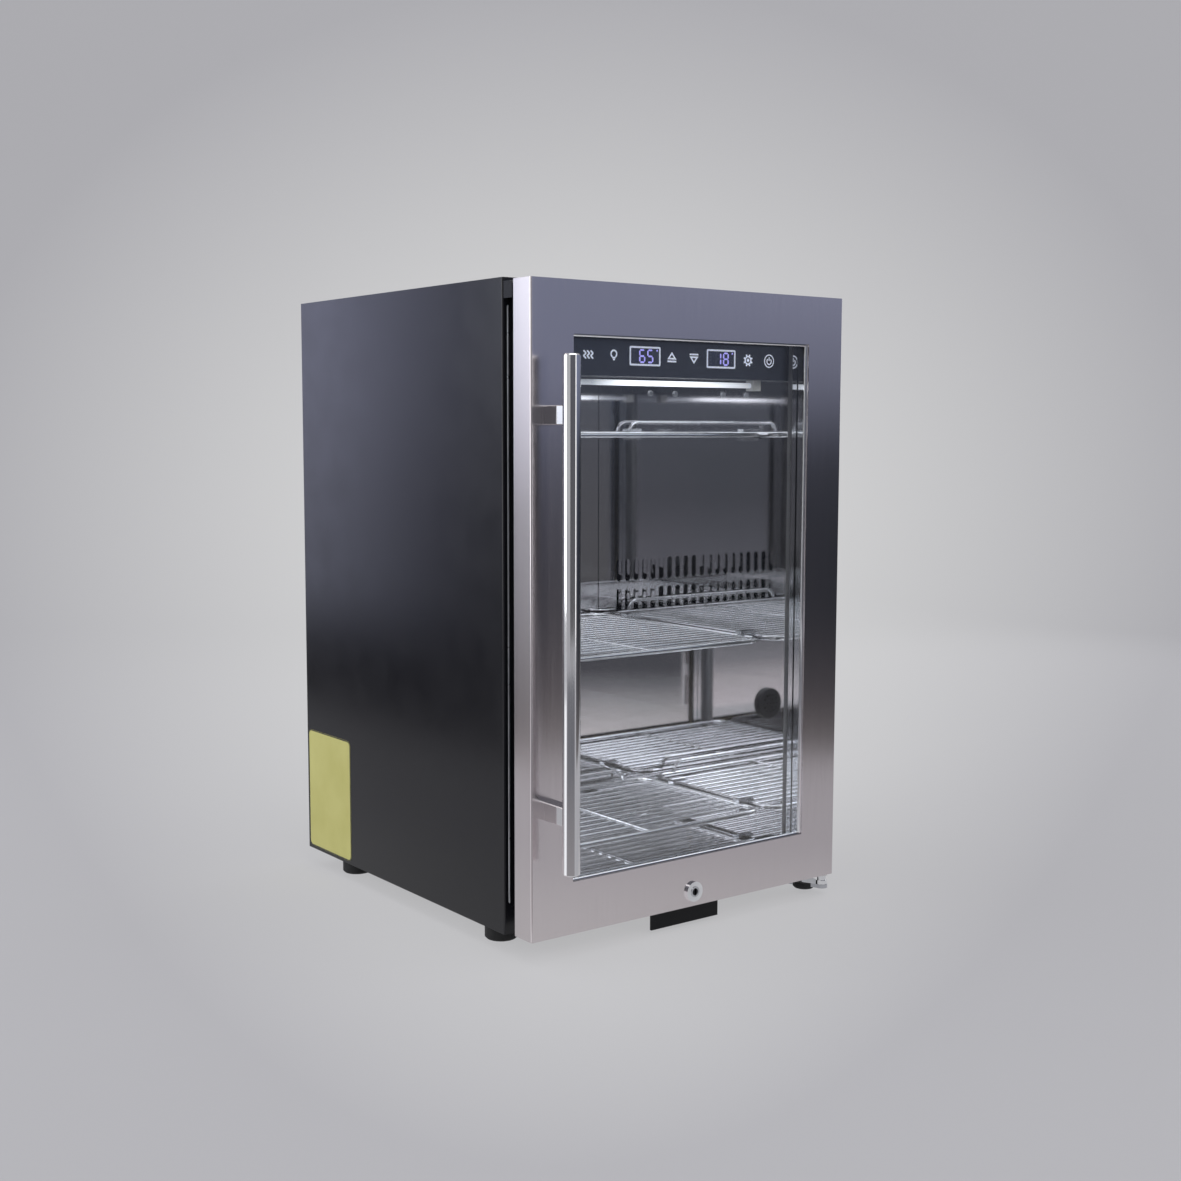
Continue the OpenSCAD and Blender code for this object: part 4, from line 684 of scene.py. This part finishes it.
def cross_screw_tree():
    """Pan-head screws with a cross recess, one on each point, turned along the point's axis."""
    sizes = (
        "Head Diameter", "Head Height", "Shank Diameter", "Shank Length", "Recess Width", "Recess Depth")
    t = NodeTree("cross_screws", [
        ("Places", "NodeSocketGeometry"), *[(label, "NodeSocketFloat") for label in sizes],
        ("Finish", "NodeSocketMaterial")])
    joined = t.node("GeometryNodeJoinGeometry")
    for solid in (screw_head(t), screw_shank(t)):
        t.link(solid, joined.inputs[0])
    points = t.node("GeometryNodeMeshToPoints", {"Mesh": t.given["Places"]}).outputs[0]
    placed = t.node("GeometryNodeInstanceOnPoints", {
        "Points": points, "Instance": joined.outputs[0], "Rotation": screw_turn(t)}).outputs[0]
    real = t.node("GeometryNodeRealizeInstances", {"Geometry": placed}).outputs[0]
    done = t.node("GeometryNodeSetMaterial", {"Geometry": real, "Material": t.given["Finish"]}).outputs[0]
    t.link(done, t.result)
    return t


def joined_spots(shape):
    """The vertices of each connected solid in a shape, one list of places for each."""
    left = set(shape.verts)
    while left:
        group, front = [], [left.pop()]
        while front:
            vert = front.pop()
            group.append(vert.co.copy())
            for edge in vert.link_edges:
                other = edge.other_vert(vert)
                if other in left:
                    left.discard(other)
                    front.append(other)
        yield group


def screw_places(node):
    """Each screw of a CAD node: its seat, the way its head faces, and its sizes."""
    rim_share, shank_share = 0.98, 0.9
    shape = bmesh.new()
    shape.from_mesh(frame["nodes"][node].data)
    bmesh.ops.remove_doubles(shape, verts=shape.verts, dist=1e-6)
    found = []
    for spots in joined_spots(shape):
        low = Vector([min(s[i] for s in spots) for i in range(3)])
        high = Vector([max(s[i] for s in spots) for i in range(3)])
        axis = max(range(3), key=lambda i: (high - low)[i])
        middle = (low + high) / 2
        across = [i for i in range(3) if i != axis]
        radii = [math.hypot(*[s[i] - middle[i] for i in across]) for s in spots]
        wide = max(radii)
        rim = [s[axis] for s, r in zip(spots, radii) if r > rim_share * wide]
        slim = max(r for r in radii if r < shank_share * wide)
        faces_up = max(rim) > middle[axis]
        seat = min(rim) if faces_up else max(rim)
        spot = middle.copy()
        spot[axis] = seat
        facing = Vector((0, 0, 0))
        facing[axis] = 1 if faces_up else -1
        tip = low[axis] if faces_up else high[axis]
        found.append((spot, facing, 2 * wide, max(rim) - min(rim), 2 * slim, abs(tip - seat)))
    shape.free()
    return sorted(found, key=lambda screw: tuple(round(c, 5) for c in screw[0]))


def cross_screws(tree, node, finish, body):
    """Stands for one CAD node of screws, a group of equal screws at a time."""
    recess_width, recess_depth = 0.16, 0.55
    groups = {}
    for spot, facing, wide, tall, slim, length in screw_places(node):
        groups.setdefault(tuple(round(s, 5) for s in (wide, tall, slim, length)), []).append((spot, facing))
    whole = bmesh.new()
    for (wide, tall, slim, length), places in groups.items():
        mesh = bpy.data.meshes.new(node + "_places")
        mesh.from_pydata([tuple(p[0]) for p in places], [], [])
        axis = mesh.attributes.new("axis", "FLOAT_VECTOR", "POINT")
        for i, (_, facing) in enumerate(places):
            axis.data[i].vector = facing
        holder = bpy.data.objects.new(node + "_places", mesh)
        bpy.context.scene.collection.objects.link(holder)
        modifier = holder.modifiers.new("screws", "NODES")
        modifier.node_group = tree.tree
        sizes = {"Head Diameter": wide, "Head Height": tall, "Shank Diameter": slim, "Shank Length": length,
                 "Recess Width": recess_width * wide, "Recess Depth": recess_depth * tall, "Finish": finish}
        for label, value in sizes.items():
            modifier[tree.sockets[label].identifier] = value
        bpy.context.view_layer.update()
        ready = holder.evaluated_get(bpy.context.evaluated_depsgraph_get())
        made = bpy.data.meshes.new_from_object(ready)
        whole.from_mesh(made)
        holder.modifiers.clear()
        bpy.data.objects.remove(holder)
        bpy.data.meshes.remove(made)
    piece = add_mesh(node + "_cross", whole, finish)
    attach(piece, body)
    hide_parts(node)


# Studio

# The photograph's camera: its turns, its place in metres and its focal length
VIEW_YAW = math.radians(36.944)
VIEW_PITCH = math.radians(5.817)
VIEW_ROLL = math.radians(0.13)
CAMERA_PLACE = (-1.10514, -1.50394, 0.54341)
FOCAL_PIXELS = 1583.91
PHOTO_PIXELS = 1181.0


def add_stage(name, shape, finish):
    made = add_mesh(name, shape, finish)
    return made


def paper_light_pool(paper):
    """A painted pool of light on the paper: palest along a line that runs back from the camera, darker with
    the angle from it.
    """
    turned = paper.mapped(Rotation=(0, 0, VIEW_YAW), Scale=(1, 1, 1.278), Location=(0, 1.617, -0.3655))
    across = paper.vector("LENGTH", paper.vector("MULTIPLY", turned, (1, 0, 1)))
    least_back = 0.05
    back = paper.math("MAXIMUM", paper.parts(turned)["Y"], least_back)
    # Painted light: the tone falls from the pool's pale middle to its dim rim
    return paper.tones(paper.math("DIVIDE", across, back), [
        (0.111, (0.735, 0.735, 0.735)), (0.419, (0.478, 0.475, 0.5))])


def pale_sweep():
    """Paper floor that rises behind the cabinet without a corner, carries a painted pool of light, and
    glows a little by itself, brighter where seen after two or more mirrorings, which paints extra light
    into the reflections inside.
    """
    near, start, bend, top, half_width = -6.0, 2.4, 1.8, 7.0, 9.0
    glow_share, mirrored_glow_boost = 0.72, 1.6
    angles = [math.radians(3 * i) for i in range(1, 31)]
    profile = [(near, 0.0), (start, 0.0)]
    profile += [(start + bend * math.sin(a), bend - bend * math.cos(a)) for a in angles]
    profile += [(start + bend, top)]
    shape = bmesh.new()
    rows = [[shape.verts.new((x, d, h)) for d, h in profile] for x in (-half_width, half_width)]
    for i in range(len(profile) - 1):
        shape.faces.new((rows[0][i], rows[1][i], rows[1][i + 1], rows[0][i + 1])).smooth = True
    shape.transform(Matrix.Rotation(-VIEW_YAW, 4, "Z"))
    paper = Finish("pale_paper", Roughness=0.9, Specular_IOR_Level=0.1)
    # The paper's colour carries the painted pool of light
    tone = paper_light_pool(paper)
    paper.link(tone, paper.shader.inputs["Base Color"])
    path = paper.node("ShaderNodeLightPath").outputs
    seen = paper.math("MAXIMUM", path["Is Camera Ray"], path["Is Transmission Ray"])
    shown = paper.math("MAXIMUM", seen, path["Is Glossy Ray"])
    glow = paper.glow(tone)
    # Painted reflection light: the glow grows to 1.6 times where the paper is seen after two or more
    # mirrorings
    paper.link(paper.spread(path["Glossy Depth"], (1.0, 2.0), (1.0, mirrored_glow_boost)), glow.inputs["Strength"])
    paper.surface(
        paper.math("MULTIPLY", shown, glow_share), paper.shader.outputs["BSDF"], glow.outputs["Emission"])
    add_stage("floor", shape, paper.material)


# The least and the most mirrorings after which a card shows
ANY_MIRROR = (1, 99)
FIRST_MIRROR = (1, 1)
LATER_MIRRORS = (2, 99)

# Where a mix node has the sockets for colours
MIX_FIRST, MIX_SECOND, MIX_RESULT = 6, 7, 2


def show_mirrored(card, tone, shape, mirrors):
    """Makes a lit sheet that shows in reflections alone, and neither lights nor shades anything else."""
    path = card.node("ShaderNodeLightPath").outputs
    middle, reach = (mirrors[0] + mirrors[1]) / 2, (mirrors[1] - mirrors[0]) / 2 + 0.5
    shown = card.math("COMPARE", path["Glossy Depth"], middle, reach)
    clear = card.node("ShaderNodeBsdfTransparent")
    card.surface(shown, clear.outputs["BSDF"], card.glow(tone).outputs["Emission"])
    made = add_stage(card.material.name, shape, card.material)
    made.visible_camera = False
    made.visible_diffuse = False
    made.visible_shadow = False


def graded_card(name, foot, height, near, far=None, span=None, mirrors=ANY_MIRROR):
    """An upright card outside the picture, graded from the floor up by heights and tones.

    Where the far end has tones of its own, the card passes from near to far over the span.
    """
    floor_gap = 0.004
    shape = bmesh.new()
    rows = [[shape.verts.new((x, y, z)) for x, y in foot] for z in (floor_gap, height)]
    for i in range(len(foot) - 1):
        shape.faces.new((rows[0][i], rows[0][i + 1], rows[1][i + 1], rows[1][i]))
    card = Finish(name)
    rise = card.along("Z", 0.0, height)
    tone = card.tones(rise, [(z / height, colour) for z, colour in near])
    if far:
        blend = card.node("ShaderNodeMix", data_type="RGBA")
        card.link(card.along(*span), blend.inputs["Factor"])
        card.link(tone, blend.inputs[MIX_FIRST])
        far_tone = card.tones(rise, [(z / height, colour) for z, colour in far])
        card.link(far_tone, blend.inputs[MIX_SECOND])
        tone = blend.outputs[MIX_RESULT]
    show_mirrored(card, tone, shape, mirrors)


def floor_fan(name, centre, bearings, radii, stops, mirrors):
    """A flat sheet just over the floor between two bearings and two radii, graded outward.

    A bearing counts in degrees from the front toward the right.
    """
    steps = 24
    start, end = bearings
    turns = [math.radians(start + (end - start) * i / steps) for i in range(steps + 1)]
    shape = bmesh.new()
    rows = [[shape.verts.new((centre[0] + r * math.sin(a), centre[1] - r * math.cos(a), centre[2]))
             for a in turns] for r in radii]
    for i in range(steps):
        shape.faces.new((rows[0][i], rows[1][i], rows[1][i + 1], rows[0][i + 1]))
    card = Finish(name)
    away = card.vector("DISTANCE", card.place, centre)
    show_mirrored(card, card.tones(away, stops), shape, mirrors)


def soft_box(name, at, toward, size, radiance, colour):
    """A diffusing lamp whose face has the given brightness."""
    lamp = bpy.data.lights.new(name, "AREA")
    lamp.shape = "RECTANGLE"
    lamp.size, lamp.size_y = size
    lamp.energy = radiance * math.pi * size[0] * size[1]
    lamp.color = colour
    box = bpy.data.objects.new(name, lamp)
    box.location = at
    box.rotation_euler = (Vector(toward) - Vector(at)).to_track_quat("-Z", "Y").to_euler()
    box.visible_camera = False
    bpy.context.scene.collection.objects.link(box)


def upright_cards():
    """Cards for the door's face, the polished inside, the painted side and the left edges to mirror."""
    door_foot = [(0.22, -1.19), (0.4026, -1.053), (0.759, -0.785), (1.0, -0.604), (1.4, -0.1)]
    graded_card("door_card", door_foot, 1.7, [
        (0.0, (0.20, 0.185, 0.185)), (0.10, (0.10, 0.094, 0.103)), (0.25, (0.050, 0.052, 0.064)),
        (0.40, (0.066, 0.070, 0.093)), (0.50, (0.10, 0.110, 0.150)), (0.62, (0.20, 0.225, 0.325)),
        (0.80, (0.185, 0.215, 0.32)), (0.95, (0.18, 0.20, 0.29)), (1.05, (1.2, 1.22, 1.28)),
        (1.7, (1.3, 1.32, 1.38))], [
        (0.0, (0.14, 0.130, 0.130)), (0.118, (0.055, 0.054, 0.062)), (0.25, (0.027, 0.030, 0.038)),
        (0.385, (0.028, 0.032, 0.042)), (0.50, (0.036, 0.041, 0.054)), (0.62, (0.17, 0.19, 0.26)),
        (0.80, (0.28, 0.31, 0.43)), (0.95, (0.22, 0.24, 0.33)), (1.05, (1.2, 1.22, 1.28)),
        (1.7, (1.3, 1.32, 1.38))], ("X", 0.4026, 0.759))
    graded_card("inside_card", [(-0.15, -0.68), (0.85, -0.52)], 1.2, [
        (0.0, (0.92, 0.86, 0.90)), (0.06, (0.66, 0.62, 0.65)), (0.095, (0.36, 0.35, 0.38)),
        (0.146, (0.24, 0.24, 0.265)), (0.27, (0.17, 0.17, 0.195)), (0.40, (0.11, 0.112, 0.13)),
        (0.60, (0.11, 0.115, 0.135)), (1.2, (0.13, 0.135, 0.16))], mirrors=LATER_MIRRORS)
    graded_card("side_card", [(-0.75, 0.60), (-0.75, 1.55)], 1.2, [
        (0.0, (0.20, 0.19, 0.21)), (0.03, (0.03, 0.03, 0.035)), (0.234, (0.03, 0.03, 0.038)),
        (0.41, (0.05, 0.052, 0.07)), (0.60, (0.20, 0.215, 0.29)), (0.76, (0.26, 0.28, 0.39)),
        (1.2, (0.30, 0.33, 0.45))], [
        (0.0, (0.20, 0.19, 0.21)), (0.03, (0.03, 0.03, 0.036)), (0.12, (0.05, 0.05, 0.06)),
        (0.25, (1.15, 1.2, 1.58)), (0.43, (1.45, 1.5, 2.0)), (0.62, (1.9, 1.98, 2.7)),
        (0.75, (1.95, 2.03, 2.8)), (1.2, (1.95, 2.03, 2.8))], ("Y", 0.66, 1.36))
    graded_card("edge_card", [(-0.75, 0.40), (-0.75, 0.60)], 1.2, [
        (0.0, (0.32, 0.30, 0.30)), (0.08, (0.24, 0.23, 0.24)), (0.242, (0.38, 0.39, 0.42)),
        (0.41, (0.50, 0.52, 0.56)), (0.586, (1.12, 1.17, 1.32)), (0.762, (1.70, 1.80, 2.0)),
        (1.2, (1.70, 1.80, 2.0))])


def floor_fans():
    """Floor tones for the handle and the door to mirror, and a floor that fades for the inside."""
    handle_foot = (-0.19, -0.26)
    floor_fan("dark_fan", (*handle_foot, 0.003), (-92, 6), (0.10, 1.9), [
        (0.0, (0.38, 0.36, 0.37)), (0.5, (0.27, 0.26, 0.275)), (1.0, (0.18, 0.18, 0.20))], FIRST_MIRROR)
    floor_fan("bright_fan", (*handle_foot, 0.003), (-136, -100), (0.10, 1.6), [
        (0.0, (1.05, 1.05, 1.09)), (1.0, (1.10, 1.10, 1.14))], FIRST_MIRROR)
    floor_fan("inside_fan", (*handle_foot, 0.006), (-75, 0), (0.10, 1.9), [
        (0.30, (0.72, 0.68, 0.70)), (0.55, (0.44, 0.42, 0.44)), (0.77, (0.23, 0.225, 0.245)),
        (1.0, (0.10, 0.10, 0.115))], LATER_MIRRORS)


def front_curtain():
    """A dim curtain round the front, which gives the handle its dark stripe."""
    radius = 2.8
    bearings = [math.radians(-52 + 7.5 * i) for i in range(11)]
    graded_card("front_curtain", [(radius * math.sin(a), -radius * math.cos(a)) for a in bearings], 2.6, [
        (0.0, (0.12, 0.118, 0.124)), (0.5, (0.11, 0.11, 0.125)), (0.9, (0.12, 0.122, 0.14)),
        (1.6, (0.16, 0.165, 0.19)), (2.6, (0.3, 0.31, 0.34))])


# Name, place, target, width and height, brightness, colour
SOFT_BOXES = (
    ("left_box", (-2.20, 0.86, 1.0), (-0.19, -0.2, 0.45), (1.4, 1.9), 2.5, (0.97, 0.98, 1.0)),
    ("rear_box", (-1.2, 2.6, 2.7), (0, 0.05, 0.4), (1.8, 1.4), 1.8, (0.95, 0.97, 1.0)),
    ("overhead", (0.2, -0.4, 3.2), (0, 0, 0.3), (2.4, 2.4), 1.2, (1, 1, 1)),
    ("front_high", (-0.6, -2.4, 2.3), (0, 0, 0.35), (2.0, 1.0), 2.0, (1, 1, 1)),
    ("front_strip", (0.60, -2.31, 0.76), (-0.19, -0.26, 0.4), (0.76, 1.5), 1.2, (1, 1, 1)),
    ("inside_light", (0, 0.02, 0.640), (0, 0.0201, 0), (0.30, 0.24), 1.7, (0.90, 0.94, 1.0)),
    ("lower_light", (-0.08, -0.03, 0.287), (-0.08, -0.0299, 0), (0.18, 0.18), 2.0, (0.88, 0.93, 1.0)),
    ("right_fill", (2.3, 0.7, 1.2), (0.1, 0, 0.4), (1.2, 1.5), 1.2, (1, 1, 1)),
)


def studio_air():
    world = bpy.data.worlds.new("studio_air")
    world.use_nodes = True
    sky = world.node_tree.nodes["Background"].inputs
    sky["Color"].default_value = (0.5, 0.505, 0.52, 1)
    sky["Strength"].default_value = 1.0
    bpy.context.scene.world = world


def photo_camera():
    lens = bpy.data.cameras.new("photo_camera")
    lens.sensor_width = 36.0
    lens.lens = lens.sensor_width * FOCAL_PIXELS / PHOTO_PIXELS
    camera = bpy.data.objects.new("photo_camera", lens)
    turn = (Matrix.Rotation(-VIEW_YAW, 4, "Z") @ Matrix.Rotation(math.radians(90) - VIEW_PITCH, 4, "X")
            @ Matrix.Rotation(VIEW_ROLL, 4, "Z"))
    camera.matrix_world = Matrix.Translation(CAMERA_PLACE) @ turn
    bpy.context.scene.collection.objects.link(camera)
    bpy.context.scene.camera = camera


def studio():
    """Pale sweep, graded cards for smooth faces to mirror, soft boxes, air and the camera."""
    bpy.context.scene.view_settings.view_transform = "Standard"
    pale_sweep()
    upright_cards()
    floor_fans()
    front_curtain()
    for box in SOFT_BOXES:
        soft_box(*box)
    studio_air()
    photo_camera()


control_symbols()
display_digits()
side_label()
glazing_bead()
front_edge_beads()
cross = cross_screw_tree()
for screws in ("hinge_screws", "panel_screws", "base_screws"):
    cross_screws(cross, screws, FINISH["screw_steel"], "cabinet")
studio()
